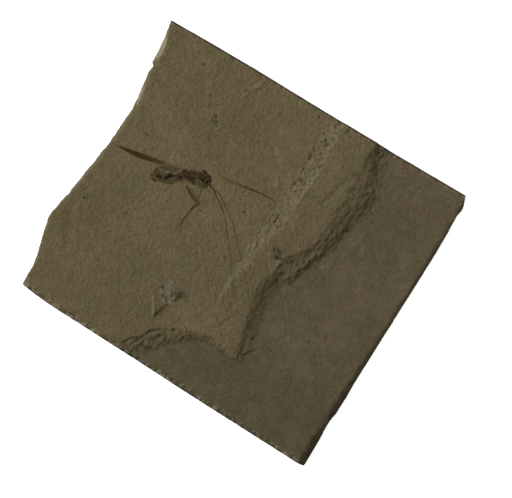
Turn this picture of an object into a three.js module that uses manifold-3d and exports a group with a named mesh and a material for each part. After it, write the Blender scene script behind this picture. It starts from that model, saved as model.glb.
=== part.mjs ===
// A fossil insect on a tile of fine-grained limestone, lying face up.
//
// The tile is one piece of bedded stone, sawn along its front and back and broken at its left and right.
// A crushed insect lies on the upper bed. To the right of it a low ridge crosses the tile, and beyond the
// ridge the stone has broken away in ledges to a lower bed.
// Millimetres, +Z up, underside at z = 0, origin in the middle of the underside.

import * as THREE from 'three';
import { mergeVertices } from 'three/addons/utils/BufferGeometryUtils.js';
import { ImprovedNoise } from 'three/addons/math/ImprovedNoise.js';
import Module from 'manifold-3d';

const wasm = await Module();
wasm.setup();

// Driving dimensions of the stone
const BED_HEIGHT = 8;        // the upper bed, which carries the insect, above the underside
const RIDGE_RISE = 0.9;      // the ridge above the upper bed
const BREAK_DROP = 1.1;      // the lower bed below the upper bed
const ARRIS = 0.7;           // width of the worn strip along the top edges
const TILE_WIDTH = 87;       // from the front sawn side to the back one, in the middle

// Where the top is cut into finer cells, for the small humps and the front break
const FINE_STRIP = { left: -15, right: -3 };
const FINE_ROWS = 25;        // distance from the front

// The four edges of the top, from corner to corner. Each pair is a place along the edge and how far out it
// lies: [y, x] on the left and right, [x, y] on the front and back.
const LEFT_EDGE = [
  [-40.6, -45.4], [-32, -46.3], [-27, -47.7], [-22, -48.6], [-19.5, -48.8], [-13, -47.6], [-6, -46.1],
  [1, -45.2], [18, -43.9], [22, -43.8], [25.5, -44.7], [28.5, -45.4], [34, -45.1], [37, -45.4],
  [40, -46.8], [43.5, -47.9],
];
const RIGHT_EDGE = [
  [-43.8, 46.3], [-37, 46.1], [-29, 47], [-18, 46.8], [0, 47.5], [18, 48.1], [24, 47.8], [40, 47.9],
  [43.9, 47.6],
];
const FRONT_EDGE = [[-45.4, -40.6], [-33, -41.7], [0, -42.6], [20, -43.2], [46.3, -43.8]];
const BACK_EDGE = [[-47.9, 43.5], [-20, 44.1], [20, 43.8], [47.6, 43.9]];

// How far the broken sides stand out below the top edge, as [y, outward]
const LEFT_BATTER = [
  [-40.6, 0], [-19.5, 0], [0, -0.3], [15, -0.2], [19, 0.4], [23, 0.8], [27, 0.3], [30, 0], [32.5, 0.9],
  [35, 0.6], [38, 0.3], [43.5, 0],
];
const RIGHT_BATTER = [
  [-43.8, 1.5], [-36, 1.8], [-31, 0.8], [-24, 1.3], [-18, 1.1], [0, 0.8], [10, 0.6], [20, 0.8],
  [30, 1.1], [39, 0.5], [41.5, 1], [43.9, 0.1],
];

// The ridge and the break to its right, as [y, x]
const RIDGE_FOOT = [[-44, 2.8], [-15, 2.8], [-7, 3.5], [0, 3.1], [5, 3.2], [15, 4.8], [30, 4.6], [44, 4.4]];
const RIDGE_SHOULDER = [[-44, 4.4], [-15, 4.3], [-3, 5], [5, 7], [10, 8.2], [18, 9], [44, 9.4]];
const BREAK_BRINK = [
  [-44, 16], [-27, 16], [-24, 15.5], [-15, 13], [-7, 11.6], [0, 12.8], [4, 15.4], [9, 17.8], [25, 19.5],
  [30, 20], [40, 18.7], [44, 19.8],
];
const LEDGE_INNER = [
  [-44, 16.8], [-27, 16.8], [-24, 17], [-15, 14.6], [-7, 13.8], [-3, 15.4], [0, 15.9], [4, 17.4],
  [9, 19.4], [25, 22.4], [30, 22.8], [40, 21], [44, 21.4],
];
const LEDGE_OUTER = [
  [-44, 17.4], [-27, 17.4], [-24, 17.8], [-15, 15.3], [-7, 14.8], [-3, 17.4], [0, 17.8], [4, 19.2],
  [9, 20.8], [25, 23.9], [30, 24.6], [40, 22.4], [44, 22.6],
];
const BREAK_TOE = [
  [-44, 18.6], [-27, 18.6], [-24, 19], [-15, 16.6], [-7, 16.4], [-3, 19], [0, 19.9], [4, 21.2], [9, 22.8],
  [20, 24.5], [25, 26], [30, 26.8], [36, 26], [40, 24.5], [44, 24],
];
const RIDGE_FADE = [[-44, 0], [-22, 0.05], [-15, 0.3], [-7, 0.55], [5, 0.9], [10, 1], [44, 1]];

// The front end of the upper bed, broken back in ledges, as [x, y]
const FRONT_BRINK = [
  [-16, -44], [-13.5, -41], [-10, -36.5], [-6.5, -31.7], [-2, -29.3], [2, -28], [7, -26.4], [14, -27.6],
  [18, -26.6],
];
const FRONT_TOE = [
  [-16, -52], [-10, -47], [-7, -42], [-4, -37], [0, -33], [3, -29.6], [7, -28.2], [14, -28.6], [18, -28],
];

// Low humps and hollows on the upper bed: middle, half length, half width, turn and height
const HUMPS = [
  { at: [-11.4, -25.6], long: 4.8, wide: 1.9, turn: -62, rise: 0.45 },
  { at: [-10.2, -21.2], long: 2.6, wide: 1.6, turn: 10, rise: 0.3 },
  { at: [-6.3, -21.4], long: 2.4, wide: 1.8, turn: -30, rise: -0.35 },
  { at: [-8.4, -27.4], long: 2.8, wide: 1.1, turn: 72, rise: -0.3 },
  { at: [-43, -20], long: 7, wide: 2, turn: -70, rise: -0.2 },
  { at: [-23.5, 25.5], long: 3.6, wide: 1.3, turn: -45, rise: 0.25 },
  { at: [-18, 40], long: 3, wide: 2, turn: 80, rise: 0.2 },
  { at: [12, 4], long: 2, wide: 1.2, turn: -50, rise: -0.4 },
];

// The stretch of the upper bed that stays true for the insect, and how softly it goes over into the rest
const TRUE_BED = { left: -50, right: 5, front: -13, back: 18, blend: 9 };

// Kinds of unevenness: how high, how long from lump to lump, and which layer of the noise
const SWELL = { height: 0.14, length: 15, layer: 3.3 };        // soft swell of the beds
const CRUSH = { height: 0.42, length: 2.6, layer: 7.7 };       // rubble on the ridge's side and the breaks
const WEAR = { height: 0.3, length: 1.9, layer: 5.1 };         // chips along the top edges
const SPALL = { height: 0.35, length: 3.1, layer: 2.2 };       // flakes off the broken sides
const LEDGE_SPACING = 9;                                       // sets the flakes of one ledge off the next

// Heights of the side's ledges as shares of the full height, and how far each follows the batter
const SIDE_LEDGES = [
  { height: 0.88, reach: 0.45 },
  { height: 0.6, reach: 1 },
  { height: 0.34, reach: 0.7 },
  { height: 0, reach: 0.8 },
];

const noise = new ImprovedNoise();

// Value at a place on a list of [place, value] pairs, on straight lines between them.
function along(line, place) {
  if (place <= line[0][0]) return line[0][1];
  for (let i = 1; i < line.length; i++) {
    const [p0, v0] = line[i - 1];
    const [p1, v1] = line[i];
    if (place <= p1) return THREE.MathUtils.mapLinear(place, p0, p1, v0, v1);
  }
  return line.at(-1)[1];
}

// Unevenness of one kind at a point.
function uneven({ height, length, layer }, x, y) {
  return height * noise.noise(x / length, y / length, layer);
}

// Share from 0 to 1 of the way from one place to another, eased at both ends.
function eased(place, from, to) {
  return THREE.MathUtils.smoothstep(place, from, to);
}

// The ridge: up from its foot to its shoulder, level, and lower towards the front.
function ridgeHeight(x, y) {
  const climb = eased(x, along(RIDGE_FOOT, y), along(RIDGE_SHOULDER, y));
  return RIDGE_RISE * along(RIDGE_FADE, y) * climb;
}

// Share of the drop that is behind a point: half of it down to the ledge, half of it beyond the ledge.
function breakShare(x, y) {
  const upper = eased(x, along(BREAK_BRINK, y), along(LEDGE_INNER, y));
  const lower = eased(x, along(LEDGE_OUTER, y), along(BREAK_TOE, y));
  return (upper + lower) / 2;
}

// The same share for the broken front end of the upper bed, which has two treads.
function frontShare(x, y) {
  const share = THREE.MathUtils.inverseLerp(along(FRONT_BRINK, x), along(FRONT_TOE, x), y);
  return (eased(share, 0, 0.3) + eased(share, 0.4, 0.65) + eased(share, 0.75, 1)) / 3;
}

// One oval hump, or a hollow where its rise is negative.
function humpHeight(hump, x, y) {
  const turn = THREE.MathUtils.degToRad(hump.turn);
  const dx = x - hump.at[0];
  const dy = y - hump.at[1];
  const lengthwise = (dx * Math.cos(turn) + dy * Math.sin(turn)) / hump.long;
  const crosswise = (dy * Math.cos(turn) - dx * Math.sin(turn)) / hump.wide;
  return hump.rise * (1 - eased(Math.hypot(lengthwise, crosswise), 0.25, 1.25));
}

// 0 on the stretch that carries the insect, 1 well away from it.
function awayFromInsect(x, y) {
  const outsideX = Math.max(TRUE_BED.left - x, x - TRUE_BED.right, 0);
  const outsideY = Math.max(TRUE_BED.front - y, y - TRUE_BED.back, 0);
  return eased(Math.hypot(outsideX, outsideY), 0, TRUE_BED.blend);
}

// Where the stone is crushed: on the ridge's pale side and all over the two breaks.
function crushedShare(x, y) {
  const side = Math.sin(Math.PI * eased(x, along(RIDGE_FOOT, y), along(RIDGE_SHOULDER, y) + 1));
  const gone = frontShare(x, y);
  const fall = Math.sin(Math.PI * breakShare(x, y)) * (1 - gone);
  return Math.max(side * along(RIDGE_FADE, y), fall, Math.sin(Math.PI * gone));
}

// Height of the tile's top at a point.
function topHeight(x, y) {
  const dropped = Math.max(breakShare(x, y), frontShare(x, y));
  const whole = ridgeHeight(x, y);
  let height = BED_HEIGHT + whole - dropped * (whole + BREAK_DROP);
  for (const hump of HUMPS) height += humpHeight(hump, x, y);
  height += uneven(SWELL, x, y) * awayFromInsect(x, y);
  height += uneven(CRUSH, x, y) * crushedShare(x, y);
  return height;
}

// Places from one stop to the next, each with its number of equal cells.
function cellsBetween(stops) {
  const places = [stops[0].to];
  for (let i = 1; i < stops.length; i++) {
    for (let k = 1; k <= stops[i].cells; k++) {
      places.push(THREE.MathUtils.lerp(stops[i - 1].to, stops[i].to, k / stops[i].cells));
    }
  }
  return places;
}

// The columns of one row of the top. They follow the ridge and the break, so that both stay sharp.
function columnsAt(y) {
  const left = along(LEFT_EDGE, y);
  const right = along(RIGHT_EDGE, y);
  return cellsBetween([
    { to: left },
    { to: left + ARRIS, cells: 1 },
    { to: FINE_STRIP.left, cells: 13 },
    { to: FINE_STRIP.right, cells: 8 },
    { to: along(RIDGE_FOOT, y), cells: 4 },
    { to: along(RIDGE_SHOULDER, y), cells: 3 },
    { to: along(BREAK_BRINK, y), cells: 5 },
    { to: along(LEDGE_INNER, y), cells: 2 },
    { to: along(LEDGE_OUTER, y), cells: 1 },
    { to: along(BREAK_TOE, y), cells: 2 },
    { to: right - ARRIS, cells: 11 },
    { to: right, cells: 1 },
  ]);
}

// The rows from front to back, as shares of the way between the two sawn sides.
function rowShares() {
  const rows = cellsBetween([
    { to: 0 },
    { to: ARRIS, cells: 1 },
    { to: FINE_ROWS, cells: 15 },
    { to: TILE_WIDTH - ARRIS, cells: 30 },
    { to: TILE_WIDTH, cells: 1 },
  ]);
  return rows.map((distance) => distance / TILE_WIDTH);
}

// The top of the tile as rows of points, with the outermost ones worn down.
function topGrid() {
  const shares = rowShares();
  return shares.map((share, row) => {
    const onEdge = row === 0 || row === shares.length - 1;
    const level = (x) => THREE.MathUtils.lerp(along(FRONT_EDGE, x), along(BACK_EDGE, x), share);
    const columns = columnsAt(level(0));
    return columns.map((x, column) => {
      const y = level(x);
      const worn = onEdge || column === 0 || column === columns.length - 1;
      const wear = worn ? WEAR.height * 0.6 + uneven(WEAR, x, y) : 0;
      return new THREE.Vector3(x, y, topHeight(x, y) - wear);
    });
  });
}

// The points around the edge of a grid, anticlockwise seen from above.
function rimOf(grid) {
  const lastRow = grid.length - 1;
  const lastColumn = grid[0].length - 1;
  const rim = [];
  for (let c = 0; c < lastColumn; c++) rim.push({ row: 0, column: c });
  for (let r = 0; r < lastRow; r++) rim.push({ row: r, column: lastColumn });
  for (let c = lastColumn; c > 0; c--) rim.push({ row: lastRow, column: c });
  for (let r = lastRow; r > 0; r--) rim.push({ row: r, column: 0 });
  return rim;
}

// One ring of the tile's sides. Only the broken left and right sides stand out and are rough.
function sideRing(grid, rim, ledge) {
  const lastColumn = grid[0].length - 1;
  return rim.map(({ row, column }) => {
    const top = grid[row][column];
    const rough = uneven(SPALL, top.y, ledge.height * LEDGE_SPACING * SPALL.length);
    let out = 0;
    if (column === 0) out = -along(LEFT_BATTER, top.y) - Math.min(rough, 0);
    if (column === lastColumn) out = along(RIGHT_BATTER, top.y) + Math.min(rough, 0);
    return new THREE.Vector3(top.x + ledge.reach * out, top.y, ledge.height * top.z);
  });
}

// The matrix stone: its top, its sides ring by ring, and its flat underside.
function slabGeometry() {
  const grid = topGrid();
  const width = grid[0].length;
  const points = grid.flat();
  const faces = [];
  const quad = (a, b, c, d) => faces.push(a, b, c, a, c, d);
  for (let r = 0; r < grid.length - 1; r++) {
    for (let c = 0; c < width - 1; c++) {
      const corner = r * width + c;
      quad(corner, corner + 1, corner + width + 1, corner + width);
    }
  }
  const rim = rimOf(grid);
  let upper = rim.map(({ row, column }) => row * width + column);
  for (const ledge of SIDE_LEDGES) {
    const lower = upper.map((_, i) => points.length + i);
    points.push(...sideRing(grid, rim, ledge));
    for (let i = 0; i < rim.length; i++) {
      const next = (i + 1) % rim.length;
      quad(upper[i], lower[i], lower[next], upper[next]);
    }
    upper = lower;
  }
  const outline = upper.map((i) => new THREE.Vector2(points[i].x, points[i].y));
  for (const [a, b, c] of THREE.ShapeUtils.triangulateShape(outline, [])) {
    faces.push(upper[a], upper[c], upper[b]);
  }
  const geometry = new THREE.BufferGeometry().setFromPoints(points);
  geometry.setIndex(faces);
  return geometry;
}

// Driving dimensions of the insect, as it lies: everything is crushed nearly flat
const ROOT = 1;              // how deep each form is made before it is cut level with the bed
const ABDOMEN_RISE = 0.42;
const THORAX_RISE = 0.6;
const HEAD_RISE = 0.55;
const LEG_RISE = 0.22;
const WING_RISE = 0.14;
const ANTENNA_RISE = 0.15;
const ANTENNA_WIDTH = 0.3;
const ABDOMEN_RINGS = 9;

// Middle lines of its limbs on the bed, as [x, y], from the body outwards
const ABDOMEN_LINE = [[-21, 8.6], [-23.6, 7.9], [-26, 6.6], [-28, 5.6], [-30.2, 4.2]];
const NEAR_WING_LINE = [
  [-22.6, 9.6], [-25.5, 9.4], [-28.5, 8.8], [-32, 7.9], [-35, 7.1], [-38, 6.7], [-41, 6.2], [-43.4, 5.9],
];
const FAR_WING_LINE = [[-14, 13.2], [-10, 13.9], [-6, 14.6], [-2, 15], [1, 15.2], [3.4, 15.3]];
const THIGH_LINE = [[-21.2, 7.7], [-20.4, 6.1], [-19, 5.3], [-17.8, 4.6], [-16, 4]];
const SHIN_LINE = [[-15.6, 4.4], [-15.9, 2], [-16.1, 0], [-16.5, -2], [-16.4, -3.3], [-15.6, -5.5]];
const SPUR_LINE = [[-16.5, -2.6], [-16.8, -4], [-16.1, -5.4]];
const FRONT_LEG_LINE = [[-16.9, 9], [-16.3, 6.8], [-16.1, 6], [-15.8, 4.2]];
const UPPER_ANTENNA_LINE = [
  [-15.4, 9.9], [-13, 9.4], [-10, 8.5], [-7, 6.5], [-4, 3.9], [-1, 1], [0.5, -0.7], [2, -2.3],
];
const LOWER_ANTENNA_LINE = [
  [-15.2, 9.6], [-13, 9.1], [-10, 7], [-7, 4.5], [-4, 1.2], [-1.5, -2.3], [0, -4], [1.9, -7],
];

// Half widths along those lines, as [share of the way, half width]
const ABDOMEN_WIDTH = [[0, 1.5], [0.3, 1.85], [0.6, 1.75], [0.85, 1.3], [1, 0.6]];
const NEAR_WING_WIDTH = [
  [0, 0.3], [0.25, 0.22], [0.4, 0.4], [0.6, 0.6], [0.7, 0.68], [0.8, 0.6], [0.9, 0.35], [1, 0.08],
];
const FAR_WING_WIDTH = [[0, 0.3], [0.2, 0.5], [0.5, 0.34], [0.8, 0.24], [1, 0.08]];
const THIGH_WIDTH = [[0, 0.3], [0.5, 0.42], [1, 0.34]];
const SHIN_WIDTH = [[0, 0.45], [0.15, 0.28], [0.7, 0.22], [1, 0.1]];
const THIN_LEG_WIDTH = [[0, 0.18], [1, 0.12]];
const ANTENNA_HALF = [[0, ANTENNA_WIDTH * 0.6], [0.4, ANTENNA_WIDTH * 0.5], [1, ANTENNA_WIDTH * 0.3]];

// Oval lumps of the thorax and head: middle, half length, half width, turn and rise
const LUMPS = [
  { at: [-22.3, 8.9], long: 1.9, wide: 1.7, turn: 30, rise: THORAX_RISE * 0.85 },
  { at: [-20.3, 9.4], long: 2.1, wide: 1.9, turn: 15, rise: THORAX_RISE },
  { at: [-18.2, 9.4], long: 1.8, wide: 1.5, turn: 20, rise: THORAX_RISE * 0.8 },
  { at: [-16.9, 10.3], long: 2.2, wide: 1.7, turn: -50, rise: HEAD_RISE },
  { at: [-18.4, 12.2], long: 0.9, wide: 0.6, turn: -20, rise: HEAD_RISE * 0.8 },
  { at: [-16.1, 10.3], long: 0.75, wide: 0.5, turn: -70, rise: HEAD_RISE + 0.15 },
  { at: [-15.2, 3.5], long: 0.75, wide: 0.45, turn: -70, rise: LEG_RISE },
];

// A solid from a mesh, with its doubled points joined.
function solidOf(geometry) {
  geometry.deleteAttribute('normal');
  geometry.deleteAttribute('uv');
  const merged = mergeVertices(geometry);
  const mesh = new wasm.Mesh({
    numProp: 3,
    vertProperties: Float32Array.from(merged.attributes.position.array),
    triVerts: Uint32Array.from(merged.index.array),
  });
  return new wasm.Manifold(mesh);
}

// A flat oval lump whose widest line lies on the bed.
function lump({ at, long, wide, turn, rise }) {
  const geometry = new THREE.SphereGeometry(1, 14, 8);
  geometry.rotateX(Math.PI / 2);
  geometry.scale(long, wide, rise);
  geometry.rotateZ(THREE.MathUtils.degToRad(turn));
  geometry.translate(at[0], at[1], BED_HEIGHT);
  return solidOf(geometry);
}

// A low half-round swelling along a line, carried down below the bed so that it can be cut level there.
function swelling({ line, width, rise, steps, sides }) {
  const curve = new THREE.CatmullRomCurve3(line.map(([x, y]) => new THREE.Vector3(x, y, 0)));
  const points = [];
  for (let i = 0; i <= steps; i++) {
    const share = i / steps;
    const middle = curve.getPointAt(share);
    const forward = curve.getTangentAt(share);
    const across = new THREE.Vector3(-forward.y, forward.x, 0).multiplyScalar(along(width, share));
    const high = typeof rise === 'function' ? rise(share) : rise;
    const place = (sideways, z) => points.push(middle.clone().addScaledVector(across, sideways).setZ(z));
    place(-1, BED_HEIGHT - ROOT);
    for (let k = 0; k <= sides; k++) {
      const angle = Math.PI * k / sides;
      place(-Math.cos(angle), BED_HEIGHT + high * Math.sin(angle));
    }
    place(1, BED_HEIGHT - ROOT);
  }
  const around = sides + 3;
  const faces = [];
  for (let i = 0; i < steps; i++) {
    for (let k = 0; k < around; k++) {
      const a = i * around + k;
      const b = i * around + (k + 1) % around;
      faces.push(a, a + around, b, b, a + around, b + around);
    }
  }
  for (let k = 1; k < around - 1; k++) {
    const end = steps * around;
    faces.push(0, k, k + 1);
    faces.push(end, end + k + 1, end + k);
  }
  const geometry = new THREE.BufferGeometry().setFromPoints(points);
  geometry.setIndex(faces);
  return solidOf(geometry);
}

// The abdomen, whose rings show as low steps.
function abdomen() {
  const rise = (share) => {
    const ring = 0.75 + 0.25 * Math.abs(Math.sin(Math.PI * ABDOMEN_RINGS * share));
    return ABDOMEN_RISE * ring * (1 - 0.4 * share);
  };
  return swelling({ line: ABDOMEN_LINE, width: ABDOMEN_WIDTH, rise, steps: 2 * ABDOMEN_RINGS, sides: 6 });
}

// Cuts forms level with the bed and gives their mesh.
function cutOnBed(forms) {
  const box = new THREE.BoxGeometry(120, 120, 10);
  box.translate(0, 0, BED_HEIGHT + 5);
  const cut = wasm.Manifold.union(forms).intersect(solidOf(box)).getMesh();
  const geometry = new THREE.BufferGeometry();
  geometry.setAttribute('position', new THREE.BufferAttribute(cut.vertProperties, 3));
  geometry.setIndex(new THREE.BufferAttribute(cut.triVerts, 1));
  return geometry;
}

// The body with its near wing, legs and antennae, pressed together as one film of rock.
function insectGeometry() {
  const antenna = { width: ANTENNA_HALF, rise: ANTENNA_RISE, steps: 22, sides: 2 };
  return cutOnBed([
    abdomen(),
    ...LUMPS.map(lump),
    swelling({ line: NEAR_WING_LINE, width: NEAR_WING_WIDTH, rise: WING_RISE, steps: 14, sides: 3 }),
    swelling({ line: THIGH_LINE, width: THIGH_WIDTH, rise: LEG_RISE, steps: 8, sides: 3 }),
    swelling({ line: SHIN_LINE, width: SHIN_WIDTH, rise: LEG_RISE, steps: 12, sides: 3 }),
    swelling({ line: SPUR_LINE, width: THIN_LEG_WIDTH, rise: LEG_RISE * 0.7, steps: 4, sides: 2 }),
    swelling({ line: FRONT_LEG_LINE, width: THIN_LEG_WIDTH, rise: LEG_RISE * 0.7, steps: 6, sides: 2 }),
    swelling({ line: UPPER_ANTENNA_LINE, ...antenna }),
    swelling({ line: LOWER_ANTENNA_LINE, ...antenna }),
  ]);
}

// The wing that lies on its own ahead of the head.
function farWingGeometry() {
  return cutOnBed([
    swelling({ line: FAR_WING_LINE, width: FAR_WING_WIDTH, rise: WING_RISE, steps: 14, sides: 3 }),
  ]);
}

// Colours: olive-brown stone, dark brown insect, and a wing that has nearly faded into the stone
const stone = new THREE.MeshStandardMaterial({ color: '#5f563f', roughness: 0.92, metalness: 0 });
const film = new THREE.MeshStandardMaterial({ color: '#2a1a10', roughness: 0.7, metalness: 0 });
const paleFilm = new THREE.MeshStandardMaterial({ color: '#463723', roughness: 0.8, metalness: 0 });

function named(name, geometry, material) {
  geometry.computeVertexNormals();
  const mesh = new THREE.Mesh(geometry, material);
  mesh.name = name;
  return mesh;
}

const fossil = new THREE.Group();
fossil.add(named('slab', slabGeometry(), stone));
fossil.add(named('insect', insectGeometry(), film));
fossil.add(named('far_wing', farWingGeometry(), paleFilm));

export default fossil;
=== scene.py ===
# A fossil insect on a thin tile of limestone, lying face up on a pale floor and seen from straight above.
import math

import bpy
import numpy as np
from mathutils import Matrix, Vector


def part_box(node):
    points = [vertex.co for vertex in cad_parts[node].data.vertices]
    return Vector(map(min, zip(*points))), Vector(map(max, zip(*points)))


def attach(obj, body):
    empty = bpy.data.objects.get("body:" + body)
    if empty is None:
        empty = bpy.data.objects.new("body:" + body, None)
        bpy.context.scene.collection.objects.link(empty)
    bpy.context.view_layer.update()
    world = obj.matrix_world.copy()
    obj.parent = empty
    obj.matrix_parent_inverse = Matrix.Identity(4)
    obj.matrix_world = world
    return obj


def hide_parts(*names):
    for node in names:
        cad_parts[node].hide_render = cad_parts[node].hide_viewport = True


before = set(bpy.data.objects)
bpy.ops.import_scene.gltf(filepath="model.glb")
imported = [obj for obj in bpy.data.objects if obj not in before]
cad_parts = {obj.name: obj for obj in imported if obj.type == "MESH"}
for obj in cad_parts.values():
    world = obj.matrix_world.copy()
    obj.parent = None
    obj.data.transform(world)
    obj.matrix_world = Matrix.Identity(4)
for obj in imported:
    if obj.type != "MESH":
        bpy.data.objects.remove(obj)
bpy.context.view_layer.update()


# The limestone slab
# One piece of thin-bedded limestone, sawn along its front and back and broken at its left and right.
# A second bed crosses it as a ridge: crushed on its left side, which faces the light and is pale partly from
# crushed stone and partly from painted light, and broken down in thin layers to a lower, darker bed on its
# right side and at its front, where shade is painted on the breaks.

MM = 0.001
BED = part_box("insect")[0].z / MM     # height of the bed that carries the insect
RIDGE_RISE = 0.9                     # how far the ridge stands above that bed
BREAK_DROP = 1.1                     # how far the lower bed lies below it
BED_SWELL, BED_RIPPLE = 0.1, 0.03    # how uneven the bed is, over long and over short lengths
BROKEN_FACETS, BROKEN_LUMPS = 0.17, 0.13     # relief of the broken stone

# Edges of the top: left and right as (y, x), front and back as (x, y)
LEFT_EDGE = [
    (-41.2, -45.3), (-37, -45.4), (-34, -45.5), (-31, -46.3), (-27, -47.4), (-22, -48.5), (-19.5, -48.7),
    (-13, -47.4), (-7, -46.2), (-1, -45.4), (5, -44.7), (11, -44.4), (17, -44), (20, -44.1), (23, -44.4),
    (26, -44.9), (29, -45.4), (34, -45.4), (37, -45.7), (40, -46.7), (43.8, -48.1),
]
RIGHT_EDGE = [
    (-44.4, 46.2), (-36, 46.1), (-33, 46.6), (-30, 46.8), (-27, 46.6), (-22, 46.6), (-17, 47), (-10, 47.3),
    (0, 47.8), (10, 48), (20, 48.2), (26, 48.2), (33, 48.4), (39, 48.3), (44.2, 48.1),
]
FRONT_EDGE = [
    (-46, -41), (-44, -41.3), (-39, -41.8), (-34, -42.1), (-24, -42.35), (-14, -42.65), (-4, -43.05),
    (6, -43.4), (16, -43.7), (31, -44.05), (48, -44.5),
]
BACK_EDGE = [
    (-48.4, 43.9), (-36, 44.1), (-21, 44.25), (-6, 44.1), (14, 44.05), (24, 44.1), (34, 44.2), (49, 44.35),
]
# How far the broken sides stand out beyond the top, as (y, reach)
LEFT_BATTER = [
    (-41, 1.1), (-34, 1), (-22, 1.1), (-13, 1.1), (-4, 1.5), (8, 1.2), (17, 1.2), (20, 1.5), (23, 1.6),
    (27, 1.4), (28.5, 1.46), (29.4, 1.1), (30.5, 1), (31.2, 1.85), (35, 1.9), (38, 1.7), (41, 1),
    (43.8, 0.4),
]
RIGHT_BATTER = [
    (-44.2, 2.4), (-36, 2.5), (-33, 1.7), (-30, 1.5), (-27, 2.2), (-22, 2.3), (-17, 1.8), (-10, 1.6),
    (0, 1.3), (10, 1.3), (20, 1.3), (26, 1.4), (33, 1.1), (38, 0.9), (40.5, 1.4), (42, 1.2), (44.2, 0.4),
]
# How much of that reach they have at each share of the height
BATTER_REACH = [(0, 0.8), (0.34, 0.7), (0.6, 1), (0.88, 0.45), (1, 0)]
# Where the left side has painted light near its top, as (y, share)
LEFT_PAINTED_LIGHT = [(-42, 0), (18, 0), (20, 1), (24, 0.7), (26, 0), (32, 0), (34, 1), (39, 1), (40, 0), (44, 0)]
SIDE_DARK = 0.42                     # how dark the broken sides are painted; on the right side this is painted shade

# Where the ridge's left side starts and ends, as (y, x)
RIDGE_FOOT = [
    (-44, 3.2), (-17, 3.4), (-14, 2.7), (-11, 2.6), (-7, 3.1), (-3, 3), (0, 2.6), (3, 2.4), (6, 3.6),
    (9, 4.4), (14, 4.1), (17, 4.8), (22, 4.6), (27, 4.2), (31, 4.4), (35, 4.5), (38, 4.6), (41, 5.3),
    (44, 6.2),
]
RIDGE_SHOULDER = [
    (-44, 4.4), (-17, 4.6), (-14, 4.4), (-11, 4.6), (-7, 5.2), (-3, 6), (0, 6.2), (3, 6.6), (6, 7.4),
    (9, 8.4), (14, 8.8), (19, 8.8), (22, 9.1), (24, 9.8), (28, 9.7), (32, 9.2), (38, 8.7), (41, 8.6),
    (44, 9.2),
]
# How high its crushed part is at each share of the way up, and how pale it is painted there: partly crushed
# stone and partly painted light where it faces the light
RIDGE_PROFILE = [(0, 0), (0.1, 0.24), (0.2, 0.17), (0.5, 0.4), (0.8, 0.58), (1, 1)]
RIDGE_PALE = [(0, 0), (0.1, 1.05), (0.3, 0.55), (0.6, 0.55), (0.85, 1.15), (1, 0)]
# How much of its height and paleness is left towards the front, as (y, share)
RIDGE_FADE = [(-44, 0), (-22, 0.05), (-15, 0.3), (-7, 0.55), (5, 0.9), (10, 1), (44, 1)]
CRUSHED_FROM, CRUSHED_FULLY = -2, 8     # y between which the ridge turns from smooth to crushed
RIDGE_NECK = -17                        # y where its broken right side is smoothest
# Sections through the broken right side of the ridge: y, then x and the share of the drop behind it
BREAK_SECTIONS = [
    (-44, [(15.4, 0), (15.9, 0.15), (16.4, 0.4), (17, 0.6), (17.6, 0.7), (18.4, 0.94), (19, 1)]),
    (-25, [(13.6, 0), (15.4, 0.22), (16.1, 0.42), (16.7, 0.64), (17.3, 0.68), (18.4, 0.94), (19, 1)]),
    (-22, [(13.5, 0), (14.5, 0.12), (15.1, 0.3), (15.9, 0.58), (17, 0.7), (18, 0.92), (18.7, 1)]),
    (-18, [(12.6, 0), (13.5, 0.1), (14.2, 0.26), (15.2, 0.56), (16.2, 0.84), (17, 0.95), (17.7, 1)]),
    (-13, [(11.9, 0), (12.4, 0.1), (13.3, 0.32), (14.4, 0.57), (15.6, 0.83), (16.4, 0.96), (17.1, 1)]),
    (-7, [(10.8, 0), (12, 0.16), (13, 0.38), (14, 0.63), (15.1, 0.84), (15.9, 0.96), (16.7, 1)]),
    (-4, [(12, 0), (13.4, 0.2), (14, 0.34), (14.8, 0.64), (15.5, 0.84), (16.1, 0.95), (16.9, 1)]),
    (0, [(12.9, 0), (14.3, 0.24), (15.1, 0.34), (15.9, 0.52), (17.7, 0.5), (18.7, 0.84), (19.6, 1)]),
    (5, [(14.4, 0), (15.6, 0.16), (17.2, 0.28), (18.2, 0.38), (19.3, 0.46), (20.6, 0.86), (21.5, 1)]),
    (8, [(16, 0), (17.6, 0.14), (18.6, 0.3), (19.3, 0.42), (20.2, 0.48), (21.5, 0.84), (22.5, 1)]),
    (12, [(17.4, 0), (19, 0.12), (20.1, 0.3), (21, 0.44), (22, 0.58), (23.3, 0.9), (24.4, 1)]),
    (17, [(17.8, 0), (19.2, 0.14), (20.7, 0.22), (21.6, 0.42), (22.7, 0.52), (24.2, 0.93), (25.2, 1)]),
    (21, [(18, 0), (19.6, 0.14), (20.7, 0.22), (22, 0.38), (23.5, 0.5), (25.3, 0.95), (26.2, 1)]),
    (26, [(18.8, 0), (20, 0.18), (21.4, 0.28), (22.8, 0.38), (24.6, 0.56), (26.5, 0.95), (27.3, 1)]),
    (31, [(18.9, 0), (20.1, 0.18), (21.4, 0.3), (22.8, 0.4), (24.9, 0.56), (27, 0.95), (27.9, 1)]),
    (35, [(18, 0), (19.4, 0.14), (21, 0.28), (22.4, 0.4), (24.6, 0.86), (25.9, 0.96), (26.8, 1)]),
    (39, [(18.2, 0), (18.9, 0.12), (20.2, 0.4), (21.7, 0.66), (23.4, 0.92), (24.2, 0.98), (24.9, 1)]),
    (44, [(18.6, 0), (19.3, 0.12), (20.2, 0.46), (21.4, 0.66), (22.9, 0.88), (23.6, 0.97), (24.2, 1)]),
]
# How strongly the drop is cut into layers, as (y, share)
LAYERING = [(-44, 0.3), (-24, 0.3), (-18, 0.1), (-5, 0.1), (-1, 0.45), (15, 0.5), (24, 0.4), (44, 0.3)]
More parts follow.
